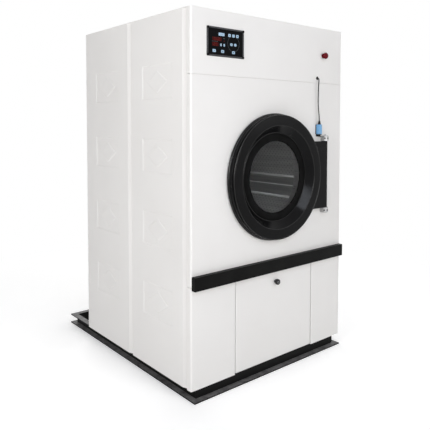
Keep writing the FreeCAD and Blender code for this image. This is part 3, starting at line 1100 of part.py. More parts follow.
save("switch_cover", cover)
lever_front = switch_front + LEVER_GAP + LEVER_THICKNESS
arm = box(SWITCH_X, SWITCH_X + LEVER_LENGTH, -lever_front, LEVER_THICKNESS - lever_front,
          pivot_height - LEVER_THICKNESS / 2, pivot_height + LEVER_THICKNESS)
lever_parts = [
    rod(LEVER_PIVOT_RADIUS, (SWITCH_X, -lever_front, pivot_height), (0, 1, 0), LEVER_THICKNESS),
    rod(LEVER_SHAFT_RADIUS, (SWITCH_X, -lever_front, pivot_height), (0, 1, 0), lever_front - 2 * SWITCH_EDGE),
    rod(LEVER_ROLLER_RADIUS, (SWITCH_X + LEVER_LENGTH, -lever_front, pivot_height + LEVER_THICKNESS),
        (0, 1, 0), 3 * LEVER_THICKNESS),
]
save("switch_lever", arm.multiFuse(lever_parts).removeSplitter())

# Cable from the grommet in the upper panel down into the gland on the switch
cable_proud = SWITCH_BASE_DEPTH + SWITCH_COVER_DEPTH / 2
gland = Part.makeCone(GLAND_BOTTOM_RADIUS, GLAND_TOP_RADIUS, GLAND_HEIGHT,
                      Vector(SWITCH_X, -cable_proud, switch_top), Vector(0, 0, 1))
save("cable_gland", gland.cut(rod(CABLE_RADIUS, (SWITCH_X, -cable_proud, switch_top), (0, 0, 1),
                                  GLAND_HEIGHT)))
grommet_lip = GROMMET_RADIUS + GROMMET_LIP
grommet = rod(grommet_lip, (CABLE_EXIT_X, -GROMMET_GROOVE, CABLE_EXIT_HEIGHT), (0, 1, 0), GROMMET_GROOVE)
grommet_parts = [
    rod(GROMMET_RADIUS, (CABLE_EXIT_X, 0, CABLE_EXIT_HEIGHT), (0, 1, 0), SHEET),
    rod(grommet_lip, (CABLE_EXIT_X, SHEET, CABLE_EXIT_HEIGHT), (0, 1, 0), GROMMET_GROOVE),
]
grommet_bore = rod(CABLE_RADIUS, (CABLE_EXIT_X, -GROMMET_GROOVE, CABLE_EXIT_HEIGHT), (0, 1, 0),
                   SHEET + 2 * GROMMET_GROOVE)
save("cable_grommet", grommet.multiFuse(grommet_parts).removeSplitter().cut(grommet_bore))

# points between the two ends: share of the way down, distance to the right of the switch, and in front
CABLE_BENDS = (
    (0.0, -2.0, 15.0), (0.043, -4.0, 28.5), (0.127, -8.0, 32.0), (0.253, -11.5, 30.0),
    (0.408, -11.0, 27.5), (0.551, -14.0, 24.0), (0.699, -10.0, 21.5), (0.86, 0.0, cable_proud),
)
cable_drop = CABLE_EXIT_HEIGHT - switch_top
cable_points = [Vector(CABLE_EXIT_X, SHEET + GROMMET_GROOVE, CABLE_EXIT_HEIGHT)]
for share, aside, proud in CABLE_BENDS:
    cable_points.append(Vector(SWITCH_X + aside, -proud, CABLE_EXIT_HEIGHT - share * cable_drop))
cable_points.append(Vector(SWITCH_X, -cable_proud, switch_top))


def rounded_route(points):
    # straight runs joined by tangent arcs
    pieces = []
    start = points[0]
    for i in range(1, len(points) - 1):
        before = (points[i - 1] - points[i])
        after = (points[i + 1] - points[i])
        shorter = min(before.Length, after.Length)
        cut = 0.45 * shorter
        turn = math.pi - before.getAngle(after)
        first = points[i] + before.normalize() * cut
        last = points[i] + after.normalize() * cut
        radius = cut / math.tan(turn / 2)
        print("cable bend", i, "radius", round(radius, 1))
        toward = (before + after).normalize()
        middle = points[i] + toward * (radius / math.cos(turn / 2) - radius)
        pieces.append(Part.makeLine(start, first))
        pieces.append(Part.Arc(first, middle, last).toShape())
        start = last
    pieces.append(Part.makeLine(start, points[-1]))
    return Part.Wire(pieces)


route = rounded_route(cable_points)
section = Part.Wire([Part.makeCircle(CABLE_RADIUS, cable_points[0], cable_points[1] - cable_points[0])])
cable = route.makePipeShell([section], True, False)
print("cable length", round(route.Length, 1), "volume ratio",
      round(cable.Volume / (math.pi * CABLE_RADIUS ** 2 * route.Length), 4))
save("switch_cable", cable)
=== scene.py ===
from math import asin, cos, degrees, pi, radians, sin, sqrt

import bmesh
import bpy
from mathutils import Matrix, Vector


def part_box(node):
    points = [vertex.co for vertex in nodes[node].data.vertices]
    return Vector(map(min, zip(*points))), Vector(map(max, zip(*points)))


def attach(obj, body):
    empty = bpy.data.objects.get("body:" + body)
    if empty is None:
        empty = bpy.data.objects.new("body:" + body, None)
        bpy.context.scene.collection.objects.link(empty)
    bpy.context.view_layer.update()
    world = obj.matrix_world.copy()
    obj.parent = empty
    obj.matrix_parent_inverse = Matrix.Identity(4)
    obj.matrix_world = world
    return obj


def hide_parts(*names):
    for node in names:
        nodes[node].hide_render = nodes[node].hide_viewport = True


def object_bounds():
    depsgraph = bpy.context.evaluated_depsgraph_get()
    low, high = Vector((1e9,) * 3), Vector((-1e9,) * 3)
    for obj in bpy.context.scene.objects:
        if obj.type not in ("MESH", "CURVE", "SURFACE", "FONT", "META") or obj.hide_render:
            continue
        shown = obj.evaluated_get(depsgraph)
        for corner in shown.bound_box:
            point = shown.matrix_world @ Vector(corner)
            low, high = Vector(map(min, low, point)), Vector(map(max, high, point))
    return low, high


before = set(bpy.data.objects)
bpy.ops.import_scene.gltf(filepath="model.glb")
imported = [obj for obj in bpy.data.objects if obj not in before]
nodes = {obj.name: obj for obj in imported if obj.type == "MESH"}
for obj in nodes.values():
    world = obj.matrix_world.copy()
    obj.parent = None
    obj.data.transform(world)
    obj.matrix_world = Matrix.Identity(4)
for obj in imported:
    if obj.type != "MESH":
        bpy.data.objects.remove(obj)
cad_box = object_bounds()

# Industrial tumble dryer dressed for its photograph, in metres. Its front faces -Y, seen with X to the right.
IMAGE_SIDE = 430
FOCAL_PIXELS = 527.81
AXIS_PIXEL = (210.7, 147.39)
CAMERA_PLACE = (-2.2699, -2.8791, 1.4731)
CAMERA_TILT = -2.5
CAMERA_TURN = -39.44
SENSOR = 36.0

MM = 0.001
UP, FORWARD, BACKWARD, RIGHT = (0, 0, 1), (0, -1, 0), (0, 1, 0), (1, 0, 0)
SHARP_ANGLE = radians(32)
ROUND = 128
ON_AXIS = 1e-7
LEAST_RADIUS = 0.5

scene = bpy.context.scene

# What the pieces are set out from: faces in metres, centres and corners in millimetres too
front_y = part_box("door_panel")[0].y
back_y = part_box("rear_panel")[1].y
door_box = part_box("door_ring")
door_centre = (door_box[0] + door_box[1]) / 2
panel_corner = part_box("control_bezel")[0]
panel_size = (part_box("control_bezel")[1] - panel_corner) / MM
TOP_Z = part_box("top_panel")[1].z / MM
DOOR_X, DOOR_Z = door_centre.x / MM, door_centre.z / MM
PANEL_X, PANEL_Z = panel_corner.x / MM, panel_corner.z / MM


# Places: frames in millimetres
def facing(origin, axis):
    # placement that turns local +Z into the axis
    turn = Vector(UP).rotation_difference(Vector(axis)).to_matrix().to_4x4()
    return Matrix.Translation(Vector(origin)) @ turn


def along(axis, x, y, z):
    # at a point given by its distance behind the front face
    return facing((x * MM, front_y + y * MM, z * MM), axis) @ Matrix.Scale(MM, 4)


def on_front(x, z, proud=0.0):
    # on the front face: local Z comes forward, local Y goes up
    return along(FORWARD, x, -proud, z)


def on_back(x, z, behind=0.0):
    # on the rear panel: local Z goes backward
    return facing((x * MM, back_y + behind * MM, z * MM), BACKWARD) @ Matrix.Scale(MM, 4)


# Outlines and profiles
def polygon(sides, radius, turn=0.0):
    angles = [turn + 2 * pi * i / sides for i in range(sides)]
    return [(radius * cos(a), radius * sin(a)) for a in angles]


def arc(centre, radius, start, end, steps=6):
    angles = [radians(start + (end - start) * i / steps) for i in range(steps + 1)]
    return [(centre[0] + radius * cos(a), centre[1] + radius * sin(a)) for a in angles]


def rectangle(width, height):
    x, y = width / 2, height / 2
    return [(-x, -y), (x, -y), (x, y), (-x, y)]


def rounded_outline(width, height, radius, steps=5):
    points = []
    for quarter, (sx, sy) in enumerate(((1, 1), (-1, 1), (-1, -1), (1, -1))):
        cx, cy = sx * (width / 2 - radius), sy * (height / 2 - radius)
        for i in range(steps + 1):
            angle = pi / 2 * (quarter + i / steps)
            points.append((cx + radius * cos(angle), cy + radius * sin(angle)))
    return points


# Object and mesh helpers
def add_object(name, data):
    thing = bpy.data.objects.new(name, data)
    scene.collection.objects.link(thing)
    return thing


def add_piece(name, bm, material, body, bevel=0.0, bevel_steps=3, replaces=()):
    # bevels the sharp edges by a width in metres, shades the mesh smoothly and hangs it on its body
    bmesh.ops.recalc_face_normals(bm, faces=bm.faces)
    if bevel:
        sharp = [e for e in bm.edges if e.calc_face_angle(0.0) > SHARP_ANGLE]
        bmesh.ops.bevel(bm, geom=sharp, offset=bevel, offset_type="OFFSET", segments=bevel_steps,
                        profile=0.5, affect="EDGES", clamp_overlap=True)
    for face in bm.faces:
        face.smooth = True
    for edge in bm.edges:
        edge.smooth = edge.calc_face_angle(0.0) < SHARP_ANGLE
    mesh = bpy.data.meshes.new(name)
    bm.to_mesh(mesh)
    bm.free()
    mesh.materials.append(material)
    piece = add_object(name, mesh)
    normals = piece.modifiers.new("normals", "WEIGHTED_NORMAL")
    normals.keep_sharp = True
    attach(piece, body)
    if replaces:
        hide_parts(*replaces)


def add_loop(bm, place, outline, height):
    # points of a flat outline at a height above its place
    return [bm.verts.new(place @ Vector((x, y, height))) for x, y in outline]


def join_loops(bm, loops, closed=False):
    # faces between neighbouring loops, where a loop of one point is a tip; closed joins the last to the first
    pairs = list(zip(loops, loops[1:]))
    if closed:
        pairs.append((loops[-1], loops[0]))
    for lower, upper in pairs:
        count = max(len(lower), len(upper))
        for i in range(count):
            j = (i + 1) % count
            corners = [lower[i % len(lower)], lower[j % len(lower)],
                       upper[j % len(upper)], upper[i % len(upper)]]
            unique = list(dict.fromkeys(corners))
            if len(unique) > 2:
                bm.faces.new(unique)


def lathe(bm, profile, place, steps=ROUND, closed=False):
    # profile of radius and height, turned about local Z; a closed profile makes a ring
    loops = []
    for radius, height in profile:
        outline = [(0, 0)] if radius < ON_AXIS else polygon(steps, radius)
        loops.append(add_loop(bm, place, outline, height))
    join_loops(bm, loops, closed)


def roll_bead(bm, place, radius, height, thickness, section=16, steps=ROUND):
    # ring of round section
    lathe(bm, arc((radius, height), thickness, 0, 360, section)[:-1], place, steps, closed=True)


def slab(bm, outline, place, height):
    # flat outline in local X and Y, raised along local Z
    low = add_loop(bm, place, outline, 0)
    high = add_loop(bm, place, outline, height)
    bm.faces.new(low)
    bm.faces.new(high)
    join_loops(bm, [low, high])


def inset_loops(bm, place, width, height, radius, profile):
    # rounded outlines, one for each distance in from the edge and height of the profile
    loops = []
    for inset, rise in profile:
        corner = max(radius - inset, LEAST_RADIUS)
        outline = rounded_outline(width - 2 * inset, height - 2 * inset, corner)
        loops.append(add_loop(bm, place, outline, rise))
    return loops


# Heads of fasteners, as shares of their radius and height
PAN_HEAD = ((0, 0), (1, 0), (1, 0.35), (0.8, 0.62), (0.5, 0.72), (0.42, 0.3), (0, 0.3))
SOCKET_HEAD = ((0, 0), (1, 0), (1, 0.8), (0.94, 0.94), (0.84, 1), (0.56, 1), (0.52, 0.9), (0.52, 0.35),
               (0, 0.35))
WASHER_RADIUS, WASHER_HEIGHT, HEX_HEIGHT = 1.5, 0.2, 0.8


def pan_screw(bm, place, radius):
    # low domed head with a round recess, closed underneath
    lathe(bm, [(radius * r, radius * h) for r, h in PAN_HEAD], place, steps=24)


def cap_screw(bm, place, radius, height):
    # cylinder head with a rounded rim and a round socket
    lathe(bm, [(radius * r, height * h) for r, h in SOCKET_HEAD], place, steps=30)


def hex_bolt(bm, place, radius):
    # washer with a six-sided head on it
    wide, thick = radius * WASHER_RADIUS, radius * WASHER_HEIGHT
    lathe(bm, [(0, 0), (wide, 0), (wide, thick), (0, thick)], place, steps=28)
    slab(bm, polygon(6, radius), place @ Matrix.Translation((0, 0, thick)), radius * HEX_HEIGHT)


# Material helpers
def shader(name):
    material = bpy.data.materials.new(name)
    material.use_nodes = True
    return material, material.node_tree, material.node_tree.nodes["Principled BSDF"]


def set_sockets(tree, node, inputs):
    # each input is a constant or another node's socket
    for name, value in inputs.items():
        if isinstance(value, bpy.types.NodeSocket):
            tree.links.new(value, node.inputs[name])
        else:
            node.inputs[name].default_value = value


def add_node(tree, kind, inputs):
    node = tree.nodes.new("ShaderNode" + kind)
    set_sockets(tree, node, inputs)
    return node


def place_on(tree, stretch=(1, 1, 1)):
    coords = tree.nodes.new("ShaderNodeTexCoord").outputs["Object"]
    if stretch == (1, 1, 1):
        return coords
    return add_node(tree, "Mapping", {"Scale": stretch, "Vector": coords}).outputs["Vector"]


def noise(tree, scale, detail, stretch=(1, 1, 1)):
    inputs = {"Scale": scale, "Detail": detail, "Vector": place_on(tree, stretch)}
    return add_node(tree, "TexNoise", inputs).outputs["Fac"]


def math_node(tree, operation, *values):
    node = tree.nodes.new("ShaderNodeMath")
    node.operation = operation
    set_sockets(tree, node, dict(enumerate(values)))
    return node.outputs[0]


def ramp(tree, value, *stops):
    # two stops, each with its position and colour
    node = add_node(tree, "ValToRGB", {"Fac": value})
    for element, (position, colour) in zip(node.color_ramp.elements, stops):
        element.position = position
        element.color = (*colour, 1.0)
    return node.outputs["Color"]


def surface_axes(tree):
    # the three parts of the direction that a surface faces
    normal = tree.nodes.new("ShaderNodeNewGeometry").outputs["Normal"]
    return add_node(tree, "SeparateXYZ", {0: normal}).outputs


def dress(tree, bsdf, tones, gloss, rough, relief, depth):
    # colour, roughness spread over the middle of a texture's range, and relief with a depth in metres
    spread = {"From Min": 0.3, "From Max": 0.7, "To Min": rough[0], "To Max": rough[1], "Value": gloss}
    bump = {"Strength": 1.0, "Distance": depth, "Height": relief}
    set_sockets(tree, bsdf, {
        "Base Color": tones,
        "Roughness": add_node(tree, "MapRange", spread).outputs["Result"],
        "Normal": add_node(tree, "Bump", bump).outputs["Normal"],
    })


def seen_directly(tree):
    # 1 where the camera, a reflection or glass looks straight at it
    path = tree.nodes.new("ShaderNodeLightPath").outputs
    mirrored = math_node(tree, "MAXIMUM", path["Is Glossy Ray"], path["Is Transmission Ray"])
    return math_node(tree, "MAXIMUM", path["Is Camera Ray"], mirrored)


def finish(name, dark, light, rough, grain, depth, mottle=3.0, metal=0.0, specular=0.5, stretch=(1, 1, 1)):
    # colour that drifts between two tones, roughness that follows the grain, and the grain itself as relief
    material, tree, bsdf = shader(name)
    tones = ramp(tree, noise(tree, mottle, 4.0, stretch), (0.35, dark), (0.65, light))
    relief = noise(tree, grain, 3.0, stretch)
    dress(tree, bsdf, tones, relief, rough, relief, depth)
    set_sockets(tree, bsdf, {"Metallic": metal, "Specular IOR Level": specular})
    return material


# Coats and castings, each with its own grain
white_coat = finish("white_coat", (0.795, 0.782, 0.766), (0.82, 0.808, 0.793),
                    rough=(0.4, 0.5), grain=420, depth=0.00012, mottle=1.6, specular=0.35)
black_coat = finish("black_coat", (0.0036, 0.0036, 0.0039), (0.0052, 0.0052, 0.0057),
                    rough=(0.13, 0.18), grain=900, depth=0.00003, mottle=6, specular=0.085)
bumper_coat = finish("bumper_coat", (0.005, 0.005, 0.005), (0.0075, 0.0075, 0.0072),
                     rough=(0.36, 0.46), grain=700, depth=0.00012, mottle=9, specular=0.05)
bead_coat = finish("bead_coat", (0.004, 0.004, 0.004), (0.006, 0.006, 0.006),
                   rough=(0.07, 0.11), grain=900, depth=0.00002, mottle=8, specular=0.26)
frame_coat = finish("frame_coat", (0.2, 0.21, 0.22), (0.26, 0.27, 0.28),
                    rough=(0.5, 0.65), grain=300, depth=0.0002)
motor_coat = finish("motor_coat", (0.06, 0.1, 0.16), (0.075, 0.12, 0.19),
                    rough=(0.38, 0.5), grain=260, depth=0.0003, mottle=10)
cast_grey = finish("cast_grey", (0.1, 0.105, 0.11), (0.15, 0.155, 0.16),
                   rough=(0.5, 0.7), grain=180, depth=0.0005, mottle=14)

# Bare metals, whose grain is drawn out along the way they were worked
BRUSHED, BRUSHED_UP, TURNED = (1, 0.06, 1), (1, 1, 0.15), (0.2, 1, 0.2)
steel_plain = finish("stainless_plain", (0.5, 0.5, 0.505), (0.6, 0.6, 0.605),
                     rough=(0.26, 0.4), grain=240, depth=0.00006, mottle=30, metal=1.0, stretch=BRUSHED)
steel_lifter = finish("stainless_lifter", (0.31, 0.31, 0.31), (0.41, 0.41, 0.405),
                      rough=(0.3, 0.44), grain=240, depth=0.00006, mottle=30, metal=0.9, stretch=BRUSHED)
# near-white steel for the lifter beads: polished wear together with a painted highlight, so their edges read
# as bright lines
steel_worn_highlight = finish("stainless_worn_highlight", (0.86, 0.86, 0.855), (0.94, 0.94, 0.935),
                    rough=(0.34, 0.46), grain=260, depth=0.00008, mottle=40, metal=0.2, stretch=BRUSHED)
satin_zinc = finish("satin_zinc", (0.4, 0.4, 0.4), (0.5, 0.5, 0.5),
                    rough=(0.4, 0.52), grain=500, depth=0.00006, mottle=60, metal=0.6, stretch=BRUSHED_UP)
steel_turned = finish("turned_steel", (0.42, 0.42, 0.43), (0.54, 0.54, 0.55),
                      rough=(0.24, 0.36), grain=600, depth=0.00005, mottle=80, metal=1.0, stretch=TURNED)
blued_steel = finish("blued_steel", (0.03, 0.03, 0.032), (0.05, 0.05, 0.053),
                     rough=(0.3, 0.42), grain=600, depth=0.00005, mottle=80, metal=1.0)
copper = finish("copper_tube", (0.52, 0.25, 0.15), (0.62, 0.33, 0.21),
                rough=(0.3, 0.45), grain=300, depth=0.0001, mottle=30, metal=1.0)

# Rubber, felt, plastics and the films of the control panel
rubber = finish("black_rubber", (0.003, 0.003, 0.003), (0.006, 0.006, 0.006),
                rough=(0.55, 0.75), grain=500, depth=0.0002, mottle=20, specular=0.04)
cable_jacket = finish("cable_jacket", (0.034, 0.034, 0.035), (0.048, 0.048, 0.049),
                      rough=(0.45, 0.6), grain=900, depth=0.00015, mottle=40, specular=0.3)
felt = finish("felt", (0.25, 0.23, 0.2), (0.36, 0.34, 0.31),
              rough=(0.85, 0.98), grain=700, depth=0.0008, mottle=90, specular=0.1)
plastic_dark = finish("dark_plastic", (0.012, 0.012, 0.013), (0.018, 0.018, 0.019),
                      rough=(0.42, 0.55), grain=1100, depth=0.00012, mottle=12, specular=0.15)
bezel_grey = finish("bezel_grey", (0.04, 0.041, 0.043), (0.054, 0.055, 0.058),
                    rough=(0.34, 0.46), grain=1100, depth=0.00012, mottle=12, specular=0.2)
stop_red = finish("stop_red", (0.105, 0.003, 0.006), (0.13, 0.004, 0.009),
                  rough=(0.16, 0.24), grain=900, depth=0.00004, mottle=40, specular=0.06)
switch_blue = finish("switch_blue", (0.15, 0.36, 0.62), (0.2, 0.43, 0.7),
                     rough=(0.32, 0.45), grain=700, depth=0.00015, mottle=25, specular=0.3)
panel_film = finish("panel_film", (0.0036, 0.0036, 0.004), (0.0052, 0.0052, 0.0057),
                    rough=(0.2, 0.3), grain=1500, depth=0.00003, mottle=20, specular=0.02)
key_film = finish("key_film", (0.33, 0.48, 0.62), (0.4, 0.54, 0.68),
                  rough=(0.35, 0.45), grain=1400, depth=0.00004, mottle=60, specular=0.2)
mark_film = finish("mark_film", (0.03, 0.05, 0.08), (0.045, 0.07, 0.1),
                   rough=(0.35, 0.45), grain=1400, depth=0.00002, mottle=60)
ring_film = finish("ring_film", (0.07, 0.073, 0.078), (0.09, 0.094, 0.1),
                   rough=(0.35, 0.45), grain=1400, depth=0.00002, mottle=60, specular=0.05)
display_film = finish("display_film", (0.046, 0.005, 0.005), (0.06, 0.008, 0.007),
                      rough=(0.2, 0.3), grain=1200, depth=0.00002, mottle=70, specular=0.03)
digit_film = finish("digit_film", (0.12, 0.01, 0.009), (0.15, 0.015, 0.012),
                    rough=(0.25, 0.35), grain=1200, depth=0.00002, mottle=70, specular=0.03)


def base_coat_material():
    # black coat with patches of dust on what faces up, lighter there than dust alone: partly painted light on
    # the top faces
    material, tree, bsdf = shader("base_coat")
    up = math_node(tree, "MAXIMUM", surface_axes(tree)["Z"], 0.0)
    dust_and_top_light = math_node(tree, "MULTIPLY", up, noise(tree, 24, 6.0))
    # the light stop is dust together with painted light on what faces up
    tones = ramp(tree, dust_and_top_light, (0.10, (0.0055, 0.0055, 0.0055)), (0.60, (0.16, 0.157, 0.157)))
    grain = noise(tree, 380, 4.0)
    dress(tree, bsdf, tones, grain, (0.45, 0.62), grain, 0.0003)
    set_sockets(tree, bsdf, {"Specular IOR Level": 0.10})
    return material


def galvanised_material():
    # zinc spangle: patches of crystal, each with its own tone and gloss
    material, tree, bsdf = shader("galvanised")
    cells = add_node(tree, "TexVoronoi", {"Scale": 70, "Vector": place_on(tree)})
    crystal = add_node(tree, "SeparateColor", {0: cells.outputs["Color"]}).outputs
    tones = ramp(tree, crystal[0], (0.0, (0.42, 0.43, 0.44)), (1.0, (0.60, 0.61, 0.62)))
    dress(tree, bsdf, tones, crystal[1], (0.34, 0.44), noise(tree, 300, 3.0), 0.00008)
    set_sockets(tree, bsdf, {"Metallic": 1.0})
    return material


def drum_material():
    # stainless sheet, brushed along the drum, with staggered round holes painted on the wall only; their dark
    # tone is painted shade, standing for what lies in shadow behind each hole
    holes_around, row_pitch, hole_size, hole_shade_tone = 212, 0.0160, 0.17, (0.17, 0.17, 0.17, 1)
    metal = 0.70
    material, tree, bsdf = shader("drum_sheet")
    place = add_node(tree, "SeparateXYZ", {0: place_on(tree)}).outputs
    across = math_node(tree, "SUBTRACT", place["X"], door_centre.x)
    rise = math_node(tree, "SUBTRACT", place["Z"], door_centre.z)
    turn = math_node(tree, "ARCTAN2", rise, across)
    columns = math_node(tree, "MULTIPLY", turn, holes_around / (2 * pi))
    rows = math_node(tree, "DIVIDE", place["Y"], row_pitch)
    diagonals = {"X": math_node(tree, "ADD", columns, rows), "Y": math_node(tree, "SUBTRACT", columns, rows)}
    grid = add_node(tree, "CombineXYZ", diagonals).outputs[0]
    cells = tree.nodes.new("ShaderNodeTexVoronoi")
    cells.voronoi_dimensions = "2D"
    set_sockets(tree, cells, {"Scale": 0.5, "Randomness": 0.0, "Vector": grid})
    near = math_node(tree, "LESS_THAN", cells.outputs["Distance"], hole_size)
    on_wall = math_node(tree, "LESS_THAN", math_node(tree, "ABSOLUTE", surface_axes(tree)["Y"]), 0.5)
    hole = math_node(tree, "MULTIPLY", near, on_wall)
    brushing = noise(tree, 40, 4.0, (1, 0.05, 1))
    steel = ramp(tree, brushing, (0.35, (0.37, 0.37, 0.37)), (0.65, (0.47, 0.47, 0.465)))
    # sockets 6 and 7 are the two colours that are mixed, and output 2 is the mixed one
    mix = tree.nodes.new("ShaderNodeMix")
    mix.data_type = "RGBA"
    # the holes take the painted shade tone
    set_sockets(tree, mix, {"Factor": hole, 6: steel, 7: hole_shade_tone})
    grain = noise(tree, 260, 3.0, BRUSHED)
    relief = math_node(tree, "SUBTRACT", grain, hole)
    dress(tree, bsdf, mix.outputs[2], grain, (0.34, 0.48), relief, 0.0003)
    set_sockets(tree, bsdf, {"Metallic": math_node(tree, "SUBTRACT", metal, hole)})
    return material


def glass_material():
    # faintly smeared pane; lamps shine straight through it, so what is behind it is lit
    material, tree, bsdf = shader("door_glass")
    tint = ramp(tree, noise(tree, 4, 3.0), (0.3, (0.92, 0.93, 0.93)), (0.7, (0.95, 0.96, 0.96)))
    dress(tree, bsdf, tint, noise(tree, 18, 4.0), (0.01, 0.05), noise(tree, 3, 1.0), 0.0002)
    set_sockets(tree, bsdf, {"Transmission Weight": 1.0, "IOR": 1.2})
    clear = add_node(tree, "BsdfTransparent", {"Color": (0.94, 0.95, 0.95, 1)}).outputs["BSDF"]
    shadow = tree.nodes.new("ShaderNodeLightPath").outputs["Is Shadow Ray"]
    either = add_node(tree, "MixShader", {"Fac": shadow, 1: bsdf.outputs["BSDF"], 2: clear})
    set_sockets(tree, tree.nodes["Material Output"], {"Surface": either.outputs["Shader"]})
    return material


# Finishes of the CAD nodes
galvanised = galvanised_material()
NODE_FINISHES = {
    white_coat: ("left_front_side_panel", "left_rear_side_panel", "right_front_side_panel",
                 "right_rear_side_panel", "upper_front_panel", "door_panel", "lower_front_panels",
                 "top_panel", "rear_panel", "lint_door"),
    galvanised: ("inlet_grille", "drum_shroud", "heater_box", "lint_duct", "fan_scroll", "exhaust_spigot",
                 "fan_impeller", "lint_door_liner"),
    black_coat: ("door_ring", "hinge_plate"),
    bumper_coat: ("bumper_bar",),
    base_coat_material(): ("base_frame", "base_cross_members"),
    frame_coat: ("frame_posts", "frame_rails"),
    steel_plain: ("throat_ring", "lint_screen", "drum_lifters"),
    drum_material(): ("drum_shell",),
    satin_zinc: ("hinge_brackets",),
    steel_turned: ("shaft_bearings", "hinge_pins", "hinge_screws", "door_magnets", "drum_shaft"),
    cast_grey: ("bearing_housing", "drum_spider", "drum_pulley", "motor_pulley"),
    motor_coat: ("gear_motor", "fan_motor"),
    rubber: ("drive_belts", "cable_grommet", "switch_cable", "glass_seal", "door_seal"),
    felt: ("drum_seal",),
    plastic_dark: ("control_bezel", "control_box", "switch_base", "cable_gland", "lint_lock", "switch_lever"),
    panel_film: ("control_overlay",),
    key_film: ("control_keys",),
    switch_blue: ("switch_cover",),
    stop_red: ("stop_button", "stop_collar"),
    copper: ("heater_tubes",),
    glass_material(): ("door_glass",),
}
for material, names in NODE_FINISHES.items():
    for name in names:
        for slot in nodes[name].material_slots:
            slot.material = material

# Camera at the photograph's place
camera_data = bpy.data.cameras.new("camera")
camera_data.sensor_width = SENSOR
camera_data.lens = FOCAL_PIXELS * SENSOR / IMAGE_SIDE
camera_data.shift_x = (IMAGE_SIDE / 2 - AXIS_PIXEL[0]) / IMAGE_SIDE
camera_data.shift_y = (AXIS_PIXEL[1] - IMAGE_SIDE / 2) / IMAGE_SIDE
camera = add_object("camera", camera_data)
camera.location = CAMERA_PLACE
camera.rotation_euler = (radians(90 + CAMERA_TILT), 0, radians(CAMERA_TURN))
scene.camera = camera

# Cable of the door switch: the route's points as control points of one smooth curve
CABLE_RADIUS = 0.0035
CABLE_ROUTE = (
    (0.38, -0.714, 1.764), (0.38, -0.7285, 1.764), (0.376, -0.736, 1.753), (0.371, -0.7375, 1.73),
    (0.3685, -0.7375, 1.6901), (0.367, -0.7375, 1.6449), (0.367, -0.7375, 1.6031), (0.372, -0.737, 1.5599),
    (0.382, -0.736, 1.5129), (0.382, -0.736, 1.472),
)
cable_curve = bpy.data.curves.new("switch_lead", "CURVE")
cable_curve.dimensions = "3D"
cable_curve.bevel_depth = CABLE_RADIUS
cable_curve.bevel_resolution = 6
cable_curve.resolution_u = 16
cable_curve.use_fill_caps = True
spline = cable_curve.splines.new("NURBS")
spline.points.add(len(CABLE_ROUTE) - 1)
for point, place in zip(spline.points, CABLE_ROUTE):
    point.co = (*place, 1.0)
spline.order_u = 3
spline.use_endpoint_u = True
cable_curve.materials.append(cable_jacket)
cable = add_object("switch_lead", cable_curve)
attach(cable, "cabinet")
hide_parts("switch_cable")

# Door ring: outer wall, groove and bevelled lip, then the face, the cone down to the glass and the inner side
RING_PROFILE = (
    (325, 4), (362, 4), (366.6, 6), (366.6, 21.2), (366.4, 22.5), (366.4, 39.2), (365.6, 40.4), (360.2, 41.4),
    (359, 42.6), (359, 46.8), (359.8, 47.8), (365.4, 48.4), (366.5, 49.2), (366.3, 50.2), (357.6, 54.4),
    (355.2, 55), (305.2, 55), (302.9, 54.5), (301.2, 53.2), (262.2, 15.1), (261.4, 15.8), (260, 16.4),
    (258.4, 16), (257.6, 14.6), (257.4, 12), (243, 12), (243, 9), (259.2, 9), (303.2, 52), (351.5, 52),
    (355.5, 48), (355.5, 7), (325, 7),
)
door_place = on_front(DOOR_X, DOOR_Z)
ring = bmesh.new()
lathe(ring, RING_PROFILE, door_place, closed=True)
add_piece("door_ring_pressing", ring, black_coat, "door", replaces=("door_ring",))

# Glossy rolled beads along the ring's edges: at the back, round the face and on both sides of the cone
RING_BEADS = ((365.2, 11, 9.2), (362.6, 51.2, 3.4), (303.4, 52.6, 2.6), (260.4, 14.4, 2.4))
beads = bmesh.new()
for bead_radius, bead_proud, thickness in RING_BEADS:
    roll_bead(beads, door_place, bead_radius, bead_proud, thickness)
add_piece("door_ring_beads", beads, bead_coat, "door")

# Rubber gasket that holds the glass, with a soft crown in front and behind
GASKET_PROFILE = (
    (228, 13.5), (212.2, 13.5), (211.2, 14.2), (211.6, 15.4), (214, 17), (219, 18.1), (230, 18.8),
    (243, 18.4), (251, 16.8), (255.4, 14.4), (256.8, 12), (243, 12), (243, 9), (256.2, 9), (252, 5),
    (240, 3.7), (220, 3.6), (213, 5), (211.4, 6.6), (212.4, 7.5), (228, 7.5),
)
gasket = bmesh.new()
lathe(gasket, GASKET_PROFILE, door_place, closed=True)
add_piece("door_glass_gasket", gasket, rubber, "door", replaces=("glass_seal",))

# Hinge leaf: flat front that runs from the ring into a knuckle rolled round the pin
LEAF_LOW, LEAF_HIGH, LEAF_EDGE, LEAF_STEPS = 943, 1367, 3, 24
LEAF_BURIED = 364
PIN_X, PIN_PROUD, KNUCKLE, KNUCKLE_STEPS = 437, 24, 13, 12
leaf_levels = [LEAF_LOW, LEAF_LOW + LEAF_EDGE]
leaf_levels += [LEAF_LOW + (LEAF_HIGH - LEAF_LOW) * i / LEAF_STEPS for i in range(1, LEAF_STEPS)]
leaf_levels += [LEAF_HIGH - LEAF_EDGE, LEAF_HIGH]
leaf = bmesh.new()
loops = []
for level in leaf_levels:
    shrink = LEAF_EDGE if level in (LEAF_LOW, LEAF_HIGH) else 0
    left = DOOR_X + sqrt(LEAF_BURIED ** 2 - (level - DOOR_Z) ** 2)
    plan = [(left, PIN_PROUD - KNUCKLE + shrink)]
    plan += arc((PIN_X, PIN_PROUD), KNUCKLE - shrink, -90, 90, KNUCKLE_STEPS)
    plan += [(left, PIN_PROUD + KNUCKLE - shrink)]
    loops.append([leaf.verts.new((x * MM, front_y - proud * MM, level * MM)) for x, proud in plan])
join_loops(leaf, loops)
leaf.faces.new(loops[0])
leaf.faces.new(loops[-1])
add_piece("hinge_leaf", leaf, black_coat, "door", replaces=("hinge_plate",))

